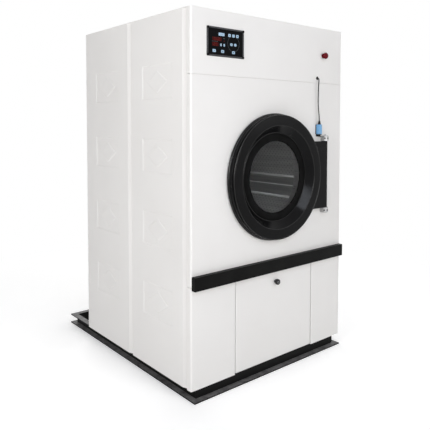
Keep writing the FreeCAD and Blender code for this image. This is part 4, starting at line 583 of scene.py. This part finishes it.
# Hinge: socket screws in the feet of the brackets, and set screws that hold the pins in their noses
BRACKET_LEVELS = (925, 1385)
BRACKET_FRONT, BRACKET_NOSE = 7, 20
FOOT_SCREW_X, FOOT_SCREW_OFFSET = 474, 6
SET_SCREW_TURNS, SET_SCREW_SUNK = (-60, 0), 0.6
screws = bmesh.new()
for level in BRACKET_LEVELS:
    for screw_z in (level - FOOT_SCREW_OFFSET, level + FOOT_SCREW_OFFSET):
        cap_screw(screws, on_front(FOOT_SCREW_X, screw_z, BRACKET_FRONT), radius=7, height=5)
for level in BRACKET_LEVELS:
    for turn in SET_SCREW_TURNS:
        aim = Vector((sin(radians(turn)), -cos(radians(turn)), 0))
        seat = Vector((PIN_X, -PIN_PROUD, level)) + aim * (BRACKET_NOSE - SET_SCREW_SUNK)
        cap_screw(screws, along(aim, *seat), radius=5.5, height=1.6)
add_piece("hinge_socket_screws", screws, blued_steel, "cabinet", replaces=("hinge_screws",))

# Drum lifters: pressed ridges with a rounded nose and sloped ends
LIFTER_COUNT, LIFTER_TURN = 4, -14
LIFTER_FRONT, LIFTER_LENGTH, LIFTER_END_SLOPE = 123, 780, 0.24
WALL_RADIUS = 538.2
FOOT_HALF = 73
NOSE_CENTRE, NOSE_RADIUS = 449.5, 11
lifter_turns = [360 / LIFTER_COUNT * i + LIFTER_TURN for i in range(LIFTER_COUNT)]
foot_edge = degrees(asin(FOOT_HALF / WALL_RADIUS))
lifter_outline = arc((NOSE_CENTRE, 0), NOSE_RADIUS, 115, 245, 8)
lifter_outline += arc((0, 0), WALL_RADIUS, -foot_edge, foot_edge)
lifters = bmesh.new()
for lifter_turn in lifter_turns:
    angle = radians(lifter_turn)
    radial = Vector((cos(angle), 0, sin(angle)))
    tangent = Vector((sin(angle), 0, -cos(angle)))
    ends = []
    for start, inward in ((LIFTER_FRONT, 1), (LIFTER_FRONT + LIFTER_LENGTH, -1)):
        corners = []
        for r, t in lifter_outline:
            depth = start + inward * LIFTER_END_SLOPE * max(0.0, WALL_RADIUS - r)
            place = Vector((door_centre.x, front_y + depth * MM, door_centre.z))
            corners.append(lifters.verts.new(place + (radial * r + tangent * t) * MM))
        lifters.faces.new(corners)
        ends.append(corners)
    join_loops(lifters, ends)
add_piece("drum_lifter_pressings", lifters, steel_lifter, "drum", bevel=0.002, bevel_steps=2,
          replaces=("drum_lifters",))

# Beads along the lifters: turn from the middle, distance from the drum's axis, radius, shortening of each end
FOOT_BEAD, FOOT_BEAD_INSET = 9, 4.5
NOSE_BEAD, NOSE_BEAD_SUNK = 4, 2.5
foot_bead_reach = WALL_RADIUS - FOOT_BEAD_INSET
nose_bead_reach = NOSE_CENTRE - NOSE_RADIUS + NOSE_BEAD_SUNK
nose_setback = LIFTER_END_SLOPE * (WALL_RADIUS - NOSE_CENTRE + NOSE_RADIUS)
LIFTER_BEADS = ((-foot_edge, foot_bead_reach, FOOT_BEAD, 0), (foot_edge, foot_bead_reach, FOOT_BEAD, 0),
                (0, nose_bead_reach, NOSE_BEAD, nose_setback))
lifter_beads = bmesh.new()
for lifter_turn in lifter_turns:
    for turn, reach, thickness, setback in LIFTER_BEADS:
        angle = radians(lifter_turn + turn)
        bead_x, bead_z = DOOR_X + reach * cos(angle), DOOR_Z + reach * sin(angle)
        length = LIFTER_LENGTH - 2 * setback
        rounding = arc((0, thickness), thickness, -90, 0, 4)
        rounding += arc((0, length - thickness), thickness, 0, 90, 4)
        bead_profile = [(max(r, 0), h) for r, h in rounding]
        lathe(lifter_beads, bead_profile, along(BACKWARD, bead_x, LIFTER_FRONT + setback, bead_z), steps=20)
# the beads' near-white finish is wear and a painted highlight
add_piece("drum_lifter_beads", lifter_beads, steel_worn_highlight, "drum")

# Control panel: surfaces by their distance from the front face, and print that is sunk a little into them
OVERLAY_FRONT, KEY_FRONT, DISPLAY_THICK = 3.5, 4.3, 0.6
PRINT_SUNK, PRINT_THICK = 0.05, 0.15


def panel_place(x, z, proud=0.0):
    # from the panel's lower left corner
    return on_front(PANEL_X + x, PANEL_Z + z, proud)


def print_on(bm, outline, x, z, surface, turn=0.0):
    place = panel_place(x, z, surface - PRINT_SUNK) @ Matrix.Rotation(turn, 4, "Z")
    slab(bm, outline, place, PRINT_THICK)


# Frame of the panel, with a cap and a screw at each corner
BEZEL_PROFILE = ((0, 0), (0, 3.4), (0.6, 4.8), (1.8, 5.7), (3.2, 6), (6.4, 6), (7.6, 5.5), (9, 3.8), (9, 0))
BEZEL_RADIUS = 5
bezel = bmesh.new()
bezel_loops = inset_loops(bezel, panel_place(panel_size.x / 2, panel_size.z / 2), panel_size.x, panel_size.z,
                          BEZEL_RADIUS, BEZEL_PROFILE)
join_loops(bezel, bezel_loops, closed=True)
add_piece("control_frame", bezel, bezel_grey, "cabinet", replaces=("control_bezel",))

CAP_SIDE, CAP_RADIUS, CAP_BACK, CAP_THICK = 13, 3, 3, 4
CAP_SCREW_BACK, CAP_SCREW = 6.9, 2.4
cap_outline = rounded_outline(CAP_SIDE, CAP_SIDE, CAP_RADIUS)
corner_caps = bmesh.new()
for cap_x in (CAP_SIDE / 2, panel_size.x - CAP_SIDE / 2):
    for cap_z in (CAP_SIDE / 2, panel_size.z - CAP_SIDE / 2):
        slab(corner_caps, cap_outline, panel_place(cap_x, cap_z, CAP_BACK), CAP_THICK)
        pan_screw(corner_caps, panel_place(cap_x, cap_z, CAP_SCREW_BACK), CAP_SCREW)
add_piece("control_frame_corners", corner_caps, black_coat, "cabinet", bevel=0.0008,
          bevel_steps=2)

# Centre, width and height of keys, displays and printed bars, from the panel's lower left corner
SQUARE_KEYS = ((100, 119, 41, 16), (157, 119, 18, 16), (186, 119, 18, 16), (214, 119, 18, 16),
               (96, 63, 10, 14), (119, 63, 10, 14), (49, 29, 22, 15), (108, 29, 20, 15), (186, 29, 20, 15))
ROUND_KEYS = ((171, 71, 18, 15), (199, 71, 18, 15))
DISPLAYS = ((68, 92, 64, 20), (57, 64, 44, 21), (119, 84, 8, 6))
PRINTED_BARS = ((55, 78.5, 40, 2), (118, 98, 12, 3))
DISPLAY_RADIUS, BAR_RADIUS = 1.5, 0.6

# Keys with the radius of their corners and the steps in each
keys = bmesh.new()
for places, radius, steps in ((SQUARE_KEYS, 3, 5), (ROUND_KEYS, 7.2, 8)):
    for x, z, width, height in places:
        outline = rounded_outline(width, height, radius, steps)
        slab(keys, outline, panel_place(x, z, OVERLAY_FRONT), KEY_FRONT - OVERLAY_FRONT)
add_piece("control_key_caps", keys, key_film, "cabinet", bevel=0.00025, bevel_steps=2,
          replaces=("control_keys",))

windows = bmesh.new()
for x, z, width, height in DISPLAYS:
    outline = rounded_outline(width, height, DISPLAY_RADIUS)
    slab(windows, outline, panel_place(x, z, OVERLAY_FRONT), DISPLAY_THICK)
add_piece("control_displays", windows, display_film, "cabinet", bevel=0.0002, bevel_steps=2)

# Digits of seven segments in the two large displays; a segment has its side, level and turn
READINGS = ("060", "25")
SEGMENTS = {"0": "abcdef", "2": "abged", "5": "afgcd", "6": "afgedc"}
SEGMENT_PLACES = {"a": (0, 1, 0), "g": (0, 0, 0), "d": (0, -1, 0), "b": (1, 0.5, 90), "c": (1, -0.5, 90),
                  "f": (-1, 0.5, 90), "e": (-1, -0.5, 90)}
DIGIT_WIDTH, DIGIT_HEIGHT, DIGIT_PITCH = 8, 14, 15
STROKE, STROKE_GAP = 1.7, 0.6
digits = bmesh.new()
for (centre_x, centre_z, _, _), text in zip(DISPLAYS, READINGS):
    for i, figure in enumerate(text):
        figure_x = centre_x + (i - (len(text) - 1) / 2) * DIGIT_PITCH
        for segment in SEGMENTS[figure]:
            side, level, turn = SEGMENT_PLACES[segment]
            length = (DIGIT_WIDTH if turn == 0 else DIGIT_HEIGHT / 2) - STROKE_GAP
            tip = length / 2 - STROKE / 2
            outline = [(-length / 2, 0), (-tip, -STROKE / 2), (tip, -STROKE / 2),
                       (length / 2, 0), (tip, STROKE / 2), (-tip, STROKE / 2)]
            print_on(digits, outline, figure_x + side * DIGIT_WIDTH / 2, centre_z + level * DIGIT_HEIGHT / 2,
                     OVERLAY_FRONT + DISPLAY_THICK, radians(turn))
add_piece("control_digits", digits, digit_film, "cabinet")

# Plain signs on the keys: bars, a cross, triangles, discs and a square, each with its turn
BAR, TRIANGLE, DISC = rectangle(6.8, 1.2), polygon(3, 3.8), polygon(20, 3.2)
SQUARE = polygon(4, 4.4, pi / 4)
KEY_MARKS = (
    (91, 119, BAR, 0), (100, 119, BAR, 0), (109, 119, BAR, 0), (157, 119, TRIANGLE, 0), (186, 119, BAR, 0),
    (214, 119, DISC, 0), (96, 63, BAR, 0), (96, 63, BAR, 90), (119, 63, BAR, 0), (171, 71, TRIANGLE, 90),
    (199, 71, BAR, 0), (49, 29, TRIANGLE, 90), (108, 29, DISC, 0), (186, 29, SQUARE, 0),
)
marks = bmesh.new()
for x, z, outline, turn in KEY_MARKS:
    print_on(marks, outline, x, z, KEY_FRONT, radians(turn))
add_piece("control_key_marks", marks, mark_film, "cabinet")

# Faint print on the film: a ring of dashes that leaves out the keys, and two bars
DIAL_CENTRE, DIAL_RADIUS, DIAL_DASHES = (186, 76), 42, 56
DASH, DASH_MARGIN = rectangle(2.2, 3.6), 2
dial = bmesh.new()
for i, (dx, dz) in enumerate(polygon(DIAL_DASHES, DIAL_RADIUS)):
    x, z = DIAL_CENTRE[0] + dx, DIAL_CENTRE[1] + dz
    on_key = any(abs(x - key_x) < width / 2 + DASH_MARGIN and abs(z - key_z) < height / 2 + DASH_MARGIN
                 for key_x, key_z, width, height in SQUARE_KEYS + ROUND_KEYS)
    if not on_key:
        print_on(dial, DASH, x, z, OVERLAY_FRONT, 2 * pi * i / DIAL_DASHES)
for x, z, width, height in PRINTED_BARS:
    print_on(dial, rounded_outline(width, height, BAR_RADIUS, 2), x, z, OVERLAY_FRONT)
add_piece("control_dial_print", dial, ring_film, "cabinet")

# Sealing tape between the upper panel and the door panel, just under the face
TAPE_CLEARANCE, TAPE_SUNK, TAPE_DEPTH, TAPE_END, TAPE_RADIUS = 0.2, 3.4, 9, 0.5, 0.8
seam_low, seam_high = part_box("door_panel")[1].z / MM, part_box("upper_front_panel")[0].z / MM
seam_width = (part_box("door_panel")[1].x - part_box("door_panel")[0].x) / MM
tape_height = seam_high - seam_low - 2 * TAPE_CLEARANCE
tape_outline = rounded_outline(seam_width - 2 * TAPE_END, tape_height, TAPE_RADIUS)
tape = bmesh.new()
slab(tape, tape_outline, on_front(0, (seam_low + seam_high) / 2, -TAPE_DEPTH), TAPE_DEPTH - TAPE_SUNK)
add_piece("panel_seam_tape", tape, white_coat, "cabinet")

# Emergency stop: mushroom cap with a dished face on its stem
STOP_X, STOP_Z = 434, 1908
STOP_PROFILE = ((0, -6), (8, -6), (8, 16.6), (16.8, 16.8), (19.2, 17.8), (20, 19.8), (20, 23.5), (19.4, 26.4),
                (17.6, 29.2), (14.6, 31.2), (11, 32), (7, 31.6), (0, 31.2))
stop = bmesh.new()
lathe(stop, STOP_PROFILE, on_front(STOP_X, STOP_Z), steps=64)
add_piece("stop_mushroom", stop, stop_red, "stop", replaces=("stop_button",))

# Lint door: pan whose profile runs from its face over the rim to its inner face, and a black rubber seal on
# its left that darkens the seam gap as painted shade
LINT_LEFT, LINT_RIGHT, LINT_LOW, LINT_HIGH, LINT_RADIUS = -308.6, 334, 68, 600, 9
LINT_PROFILE = ((8, 0), (5, -0.6), (2.3, -2.3), (0.6, -5), (0, -8), (0, -36), (1.5, -36), (1.5, -8),
                (2.6, -4.6), (4.8, -2.4), (8, -1.5))
lint_middle_x, lint_middle_z = (LINT_LEFT + LINT_RIGHT) / 2, (LINT_LOW + LINT_HIGH) / 2
lint_height = LINT_HIGH - LINT_LOW
lint_pan = bmesh.new()
pan_loops = inset_loops(lint_pan, on_front(lint_middle_x, lint_middle_z), LINT_RIGHT - LINT_LEFT, lint_height,
                        LINT_RADIUS, LINT_PROFILE)
join_loops(lint_pan, pan_loops)
lint_pan.faces.new(pan_loops[0])
lint_pan.faces.new(pan_loops[-1])
add_piece("lint_door_pan", lint_pan, white_coat, "lint_flap", replaces=("lint_door",))

# black rubber strip in the seam gap: a seal whose black is painted shade in the gap
SHADE_SEAL_WIDTH, SHADE_SEAL_DEPTH, SHADE_SEAL_MARGIN, SHADE_SEAL_RADIUS, SHADE_SEAL_LAP, SHADE_SEAL_SUNK = 3, 24, 12, 1.2, 0.2, 8
shade_seal_outline = rounded_outline(SHADE_SEAL_WIDTH, lint_height - 2 * SHADE_SEAL_MARGIN, SHADE_SEAL_RADIUS)
shade_seal_x = LINT_LEFT - SHADE_SEAL_WIDTH / 2 + SHADE_SEAL_LAP
shade_seal = bmesh.new()
slab(shade_seal, shade_seal_outline, on_front(shade_seal_x, lint_middle_z, -SHADE_SEAL_SUNK - SHADE_SEAL_DEPTH), SHADE_SEAL_DEPTH)
add_piece("lint_door_shade_seal", shade_seal, rubber, "lint_flap")

# Lock of the lint door: fluted knob with a key barrel, its stem and cam behind
LOCK_X, LOCK_Z = 8, 537
KNOB_BACK, KNOB_FRONT, KNOB_RADIUS = 12, 26, 16.5
FLUTES, FLUTE_DEPTH, FLUTE_STEPS = 14, 0.5, 8
CAM_OUTLINE = rounded_outline(width=59, height=18, radius=8.5)
CAM_OFFSET, CAM_SUNK, CAM_THICK = 20.5, 45, 4
STEM_PROFILE = ((0, -CAM_SUNK), (6, -CAM_SUNK), (6, 0), (11, 0), (11, 12.4), (0, 12.4))
BARREL_PROFILE = ((0, 25.6), (7.5, 25.6), (7.5, 25.9), (6.9, 26.3), (5.8, 26.2), (5.6, 25.8), (0, 25.8))
KEYHOLE, KEYHOLE_BACK, KEYHOLE_THICK = rectangle(6.8, 1.0), 25.7, 0.25
knob_outline = []
for i in range(FLUTES * FLUTE_STEPS):
    angle = 2 * pi * i / (FLUTES * FLUTE_STEPS)
    reach = KNOB_RADIUS + FLUTE_DEPTH * cos(FLUTES * angle)
    knob_outline.append((reach * cos(angle), reach * sin(angle)))
knob = bmesh.new()
slab(knob, knob_outline, on_front(LOCK_X, LOCK_Z, KNOB_BACK), KNOB_FRONT - KNOB_BACK)
lathe(knob, STEM_PROFILE, on_front(LOCK_X, LOCK_Z), steps=40)
slab(knob, CAM_OUTLINE, on_front(LOCK_X + CAM_OFFSET, LOCK_Z, -CAM_SUNK), CAM_THICK)
add_piece("lint_lock_knob", knob, plastic_dark, "lock", bevel=0.0022, replaces=("lint_lock",))
barrel = bmesh.new()
lathe(barrel, BARREL_PROFILE, on_front(LOCK_X, LOCK_Z), steps=40)
slab(barrel, KEYHOLE, on_front(LOCK_X, LOCK_Z, KEYHOLE_BACK), KEYHOLE_THICK)
add_piece("lint_lock_barrel", barrel, steel_turned, "lock")

# Door switch: case with a raised face and two screws
SWITCH_X, SWITCH_Z = 382, 1441.5
CASE_OUTLINE, CASE_BACK, CASE_THICK = rounded_outline(width=32, height=61, radius=4), 7, 20.6
FACE_OUTLINE, FACE_BACK, FACE_THICK = rounded_outline(width=26.5, height=55, radius=3), 27.4, 2.6
CASE_SCREW_X, CASE_SCREW_Z, CASE_SCREW_BACK, CASE_SCREW = 8, 21.5, 29.8, 2.6
case = bmesh.new()
slab(case, CASE_OUTLINE, on_front(SWITCH_X, SWITCH_Z, CASE_BACK), CASE_THICK)
slab(case, FACE_OUTLINE, on_front(SWITCH_X, SWITCH_Z, FACE_BACK), FACE_THICK)
add_piece("switch_case", case, switch_blue, "cabinet", bevel=0.0012,
          replaces=("switch_cover",))
case_screws = bmesh.new()
for side in (-1, 1):
    screw_x, screw_z = SWITCH_X + side * CASE_SCREW_X, SWITCH_Z + side * CASE_SCREW_Z
    pan_screw(case_screws, on_front(screw_x, screw_z, CASE_SCREW_BACK), CASE_SCREW)
add_piece("switch_case_screws", case_screws, steel_turned, "cabinet")

# Lever of the switch: flat arm on a pivot, with a roller at its end
LEVER_Z = 1403.5
ARM, ARM_BACK, ARM_THICK = rounded_outline(width=56, height=4.6, radius=2.2), 31, 2.2
ARM_MIDDLE, ROLLER = (24, 1.5), (48, 3)
PIVOT_PROFILE = ((0, 6), (2.5, 6), (2.5, 31), (4.6, 31), (4.6, 33.6), (3.8, 34), (0, 34))
ROLLER_PROFILE = ((0, 25), (3.9, 25), (4.5, 25.6), (4.5, 30.2), (3.9, 30.8), (2, 31.2), (2, 33.8), (0, 33.8))
arm_outline = [(x + ARM_MIDDLE[0], y + ARM_MIDDLE[1]) for x, y in ARM]
lever = bmesh.new()
slab(lever, arm_outline, on_front(SWITCH_X, LEVER_Z, ARM_BACK), ARM_THICK)
lathe(lever, PIVOT_PROFILE, on_front(SWITCH_X, LEVER_Z), steps=30)
lathe(lever, ROLLER_PROFILE, on_front(SWITCH_X + ROLLER[0], LEVER_Z + ROLLER[1]), steps=30)
add_piece("switch_roller_lever", lever, steel_turned, "lever", bevel=0.0003,
          replaces=("switch_lever",))

# Gland with a hexagon foot and a ribbed sleeve on the switch, and grommet in the upper panel
GLAND_PROUD, GLAND_Z, GLAND_HEX, GLAND_FOOT = 18.5, 1472, 9.6, 5
GLAND_PROFILE = (
    (3.5, 4.8), (8.3, 4.8), (8.3, 7.6), (7.3, 8.2), (7.3, 9.8), (7.9, 10.3), (7.9, 12), (6.8, 12.6),
    (6.8, 14.2), (7.3, 14.7), (7.3, 16.4), (6.2, 17), (6.2, 19), (5.6, 21), (5.1, 23.4), (4.4, 24),
    (3.5, 24),
)
gland_place = along(UP, SWITCH_X, -GLAND_PROUD, GLAND_Z)
gland = bmesh.new()
slab(gland, polygon(6, GLAND_HEX), gland_place, GLAND_FOOT)
lathe(gland, GLAND_PROFILE, gland_place, steps=36, closed=True)
add_piece("cable_gland_nut", gland, plastic_dark, "cabinet", bevel=0.0004,
          replaces=("cable_gland",))

GROMMET_X, GROMMET_Z = 380, 1764
GROMMET_PROFILE = ((3.5, -3.5), (9.6, -3.5), (11, -2.8), (10.6, -1.7), (8, -1.5), (8, 0), (10.8, 0.1),
                   (11, 0.9), (9.8, 1.7), (7, 2.3), (4.6, 2.2), (3.5, 1.2))
grommet = bmesh.new()
lathe(grommet, GROMMET_PROFILE, on_front(GROMMET_X, GROMMET_Z), steps=40, closed=True)
add_piece("cable_grommet_lip", grommet, rubber, "cabinet", replaces=("cable_grommet",))


# Screws of the back, of the exhaust's flange and of the top
def screw_border(bm, place, radius, side, start, pitch, count, end, spaces):
    # a column along each side, and a row at the end between them
    for x in (-side, side):
        for i in range(count):
            pan_screw(bm, place(x, start + i * pitch), radius)
    for i in range(1, spaces):
        pan_screw(bm, place(-side + i * 2 * side / spaces, end), radius)


def on_top(x, y):
    # on the top panel, by the distance behind the front face
    return along(UP, x, y, TOP_Z)


EXHAUST_X, EXHAUST_Z = -305, 445
FLANGE_SCREW, FLANGE_PITCH, FLANGE_THICK = 5, 102, 3
back_screws = bmesh.new()
screw_border(back_screws, on_back, radius=5.5, side=583, start=110, pitch=240, count=9, end=2062, spaces=6)
for dx in (-FLANGE_PITCH, 0, FLANGE_PITCH):
    for dz in (-FLANGE_PITCH, 0, FLANGE_PITCH):
        if dx or dz:
            pan_screw(back_screws, on_back(EXHAUST_X + dx, EXHAUST_Z + dz, FLANGE_THICK), FLANGE_SCREW)
add_piece("back_screws", back_screws, steel_turned, "cabinet")

top_screws = bmesh.new()
screw_border(top_screws, on_top, radius=5, side=598, start=75, pitch=215, count=6, end=1155, spaces=5)
add_piece("top_screws", top_screws, steel_turned, "cabinet")

# Exhaust collar: rolled bead round the end of the tube
collar = bmesh.new()
roll_bead(collar, on_back(EXHAUST_X, EXHAUST_Z), radius=90.6, height=88, thickness=2.6, section=12, steps=96)
add_piece("exhaust_bead", collar, galvanised, "cabinet")

# Bearing cap with its ring of bolts, by distance behind the rear panel
BEARING_CAP_PROFILE = ((38, 60), (82, 60), (82, 66), (79, 69), (56, 69), (50, 73), (40, 73), (38, 71))
BEARING_BOLT, BEARING_BOLTS, BEARING_BOLT_CIRCLE, BEARING_FACE = 6, 6, 68, 69
bearing_cap = bmesh.new()
lathe(bearing_cap, BEARING_CAP_PROFILE, on_back(DOOR_X, DOOR_Z), steps=96, closed=True)
for dx, dz in polygon(BEARING_BOLTS, BEARING_BOLT_CIRCLE):
    hex_bolt(bearing_cap, on_back(DOOR_X + dx, DOOR_Z + dz, BEARING_FACE), BEARING_BOLT)
add_piece("bearing_cap", bearing_cap, cast_grey, "cabinet", bevel=0.0006, bevel_steps=2)

# Bushes of the two pulleys, with their screws and shaft bolts
BUSH_PROFILE = ((35, 179), (58, 179), (58, 184), (55, 187), (36, 187), (35, 186))
BUSH_SCREWS, BUSH_SCREW_CIRCLE, BUSH_FACE = 3, 47, 187
SHAFT_BOLT, SHAFT_END = 12, 192
bush = bmesh.new()
lathe(bush, BUSH_PROFILE, on_back(DOOR_X, DOOR_Z), steps=72, closed=True)
for dx, dz in polygon(BUSH_SCREWS, BUSH_SCREW_CIRCLE):
    cap_screw(bush, on_back(DOOR_X + dx, DOOR_Z + dz, BUSH_FACE), radius=5, height=4)
hex_bolt(bush, on_back(DOOR_X, DOOR_Z, SHAFT_END), SHAFT_BOLT)
add_piece("drum_pulley_bush", bush, steel_turned, "drum", bevel=0.0005, bevel_steps=2)

MOTOR_X, MOTOR_Z = 200, 183
SMALL_BUSH_PROFILE = ((0, 179), (30, 179), (30, 182), (28, 184), (0, 184))
SMALL_BUSH_FACE, SMALL_BUSH_BOLT = 184, 8
small_bush = bmesh.new()
lathe(small_bush, SMALL_BUSH_PROFILE, on_back(MOTOR_X, MOTOR_Z), steps=48)
hex_bolt(small_bush, on_back(MOTOR_X, MOTOR_Z, SMALL_BUSH_FACE), SMALL_BUSH_BOLT)
add_piece("motor_pulley_bush", small_bush, steel_turned, "drive_pulley", bevel=0.0004,
          bevel_steps=2)

# Motor cowl: cap with a rounded edge and ring grooves in its end
MOTOR_DEPTH, MOTOR_AXIS_Z = 1253, 258
COWL_START, COWL_LENGTH, COWL_RADIUS, COWL_BORE, COWL_EDGE, COWL_END = 494, 56, 73, 70, 9, 5
COWL_GROOVES, GROOVE_DEPTH = (52, 40, 28), 3
cowl_shoulder = COWL_LENGTH - COWL_EDGE
groove_floor = COWL_LENGTH - GROOVE_DEPTH
cowl_profile = [(COWL_BORE, 0), (COWL_RADIUS, 0)]
cowl_profile += arc((COWL_RADIUS - COWL_EDGE, cowl_shoulder), COWL_EDGE, 0, 90)
for groove in COWL_GROOVES:
    cowl_profile += [(groove + 4, COWL_LENGTH), (groove + 3.4, groove_floor),
                     (groove - 2.4, groove_floor), (groove - 3, COWL_LENGTH)]
cowl_profile += [(0, COWL_LENGTH), (0, COWL_LENGTH - COWL_END), (COWL_BORE, COWL_LENGTH - COWL_END)]
cowl = bmesh.new()
lathe(cowl, cowl_profile, along(RIGHT, COWL_START, MOTOR_DEPTH, MOTOR_AXIS_Z), steps=72)
add_piece("motor_cowl", cowl, motor_coat, "cabinet")

# Terminal box on the motor: body, lid and cable entry
TERMINAL_X, TERMINAL_Z = 400, MOTOR_AXIS_Z + 60
BODY_OUTLINE, BODY_HEIGHT = rounded_outline(104, 92, 9), 42
LID_OUTLINE, LID_HEIGHT = rounded_outline(110, 98, 11), 13
ENTRY_PROFILE = ((0, 0), (13, 0), (13, 10), (10.5, 12), (10.5, 22), (8, 24), (0, 24))
ENTRY_BEHIND, ENTRY_RISE = 45, 22
terminal_place = along(UP, TERMINAL_X, MOTOR_DEPTH, TERMINAL_Z)
terminal_box = bmesh.new()
slab(terminal_box, BODY_OUTLINE, terminal_place, BODY_HEIGHT)
slab(terminal_box, LID_OUTLINE, terminal_place @ Matrix.Translation((0, 0, BODY_HEIGHT)), LID_HEIGHT)
entry_place = along(BACKWARD, TERMINAL_X, MOTOR_DEPTH + ENTRY_BEHIND, TERMINAL_Z + ENTRY_RISE)
lathe(terminal_box, ENTRY_PROFILE, entry_place, steps=30)
add_piece("motor_terminal_box", terminal_box, motor_coat, "cabinet", bevel=0.002)

# Bolts of the drive: screws of the box's lid, bolts of the gear's face and of its feet
LID_SCREW, LID_SCREW_X, LID_SCREW_Y = 4, 44, 38
FACE_BOLT, FACE_BOLT_X, FACE_BOLT_LEVELS, GEAR_FACE = 6, 74, (95, 265), 1300
FOOT_BOLT, FOOT_BOLT_X, FOOT_BOLT_DEPTHS, FOOT_TOP = 9, 125, (1225, 1282), 73
lid_top = TERMINAL_Z + BODY_HEIGHT + LID_HEIGHT
drive_bolts = bmesh.new()
for dx in (-LID_SCREW_X, LID_SCREW_X):
    for dy in (-LID_SCREW_Y, LID_SCREW_Y):
        pan_screw(drive_bolts, along(UP, TERMINAL_X + dx, MOTOR_DEPTH + dy, lid_top), LID_SCREW)
for dx in (-FACE_BOLT_X, FACE_BOLT_X):
    for z in FACE_BOLT_LEVELS:
        hex_bolt(drive_bolts, along(BACKWARD, MOTOR_X + dx, GEAR_FACE, z), FACE_BOLT)
for dx in (-FOOT_BOLT_X, FOOT_BOLT_X):
    for y in FOOT_BOLT_DEPTHS:
        hex_bolt(drive_bolts, along(UP, MOTOR_X + dx, y, FOOT_TOP), FOOT_BOLT)
add_piece("drive_bolts", drive_bolts, steel_turned, "cabinet", bevel=0.0004, bevel_steps=2)

# Light: soft boxes on the left, at the left corner, in front, on the right, behind and above, in a dim room
LIGHT_AIM = Vector((0, 0, 1))
ROOM_LEVEL = 0.1


def soft_box(name, place, size, power, colour=(1, 1, 1), roll=0):
    data = bpy.data.lights.new(name, "AREA")
    data.shape = "RECTANGLE"
    data.size, data.size_y = size
    data.energy = power
    data.color = colour
    lamp = add_object(name, data)
    lamp.location = place
    aim = (LIGHT_AIM - Vector(place)).to_track_quat("-Z", "Y").to_matrix()
    lamp.rotation_euler = (aim @ Matrix.Rotation(radians(roll), 3, "Z")).to_euler()


soft_box("key_light", (-4.6, -1.6, 2.7), (1.2, 2.0), 95, (1.0, 0.992, 0.99))
soft_box("corner_light", (-3.6, -3.4, 1.8), (1.6, 1.6), 38, (1.0, 0.98, 0.965))
soft_box("high_light", (-1.41, -3.7, 3.17), (0.36, 2.8), 38, (0.86, 0.91, 1.0), roll=-39)
soft_box("front_light", (0.4, -5.0, 1.8), (1.2, 1.2), 49, (1.0, 0.985, 0.97))
soft_box("fill_light", (2.6, -4.6, 2.6), (2.5, 2.5), 17, (1.0, 0.98, 0.96))
soft_box("right_light", (4.6, 0.8, 2.4), (2.5, 2.5), 70)
soft_box("rear_light", (1.5, 4.6, 3.0), (3.0, 2.5), 110)
soft_box("top_light", (0, -0.1, 4.4), (1.1, 1.1), 25)

world = bpy.data.worlds.new("room")
scene.world = world
world.use_nodes = True
world_tree = world.node_tree
room_level = math_node(world_tree, "MULTIPLY_ADD", seen_directly(world_tree), 1 - ROOM_LEVEL, ROOM_LEVEL)
set_sockets(world_tree, world_tree.nodes["Background"], {"Color": (1, 1, 1, 1), "Strength": room_level})

# Floor: pale and matt near the machine, where it takes the shadow, and plain white further off
FLOOR_GLOW, FLOOR_TONE = 0.31, (0.9, 0.9, 0.9)
FADE_START, FADE_END = 1.3, 3.0
FLOOR_HALF = 40
floor_material, floor_tree, floor_bsdf = shader("floor")
distance = floor_tree.nodes.new("ShaderNodeVectorMath")
distance.operation = "LENGTH"
set_sockets(floor_tree, distance, {0: place_on(floor_tree)})
fade = floor_tree.nodes.new("ShaderNodeMapRange")
fade.interpolation_type = "SMOOTHSTEP"
fade_range = {"From Min": FADE_START, "From Max": FADE_END, "Value": distance.outputs["Value"]}
set_sockets(floor_tree, fade, fade_range)
seen = seen_directly(floor_tree)
far = math_node(floor_tree, "MULTIPLY", fade.outputs["Result"], seen)
glow = math_node(floor_tree, "MULTIPLY_ADD", far, 1 - FLOOR_GLOW, FLOOR_GLOW)
set_sockets(floor_tree, floor_bsdf, {
    "Base Color": ramp(floor_tree, far, (0, FLOOR_TONE), (1, (0, 0, 0))),
    "Roughness": 0.9,
    "Specular IOR Level": 0.0,
    "Emission Color": (1, 1, 1, 1),
    "Emission Strength": math_node(floor_tree, "MULTIPLY", glow, seen),
})
floor_mesh = bmesh.new()
bmesh.ops.create_grid(floor_mesh, x_segments=1, y_segments=1, size=FLOOR_HALF)
floor_data = bpy.data.meshes.new("floor")
floor_mesh.to_mesh(floor_data)
floor_mesh.free()
floor_data.materials.append(floor_material)
floor = add_object("floor", floor_data)
floor.location.z = cad_box[0].z

scene.view_settings.view_transform = "Standard"
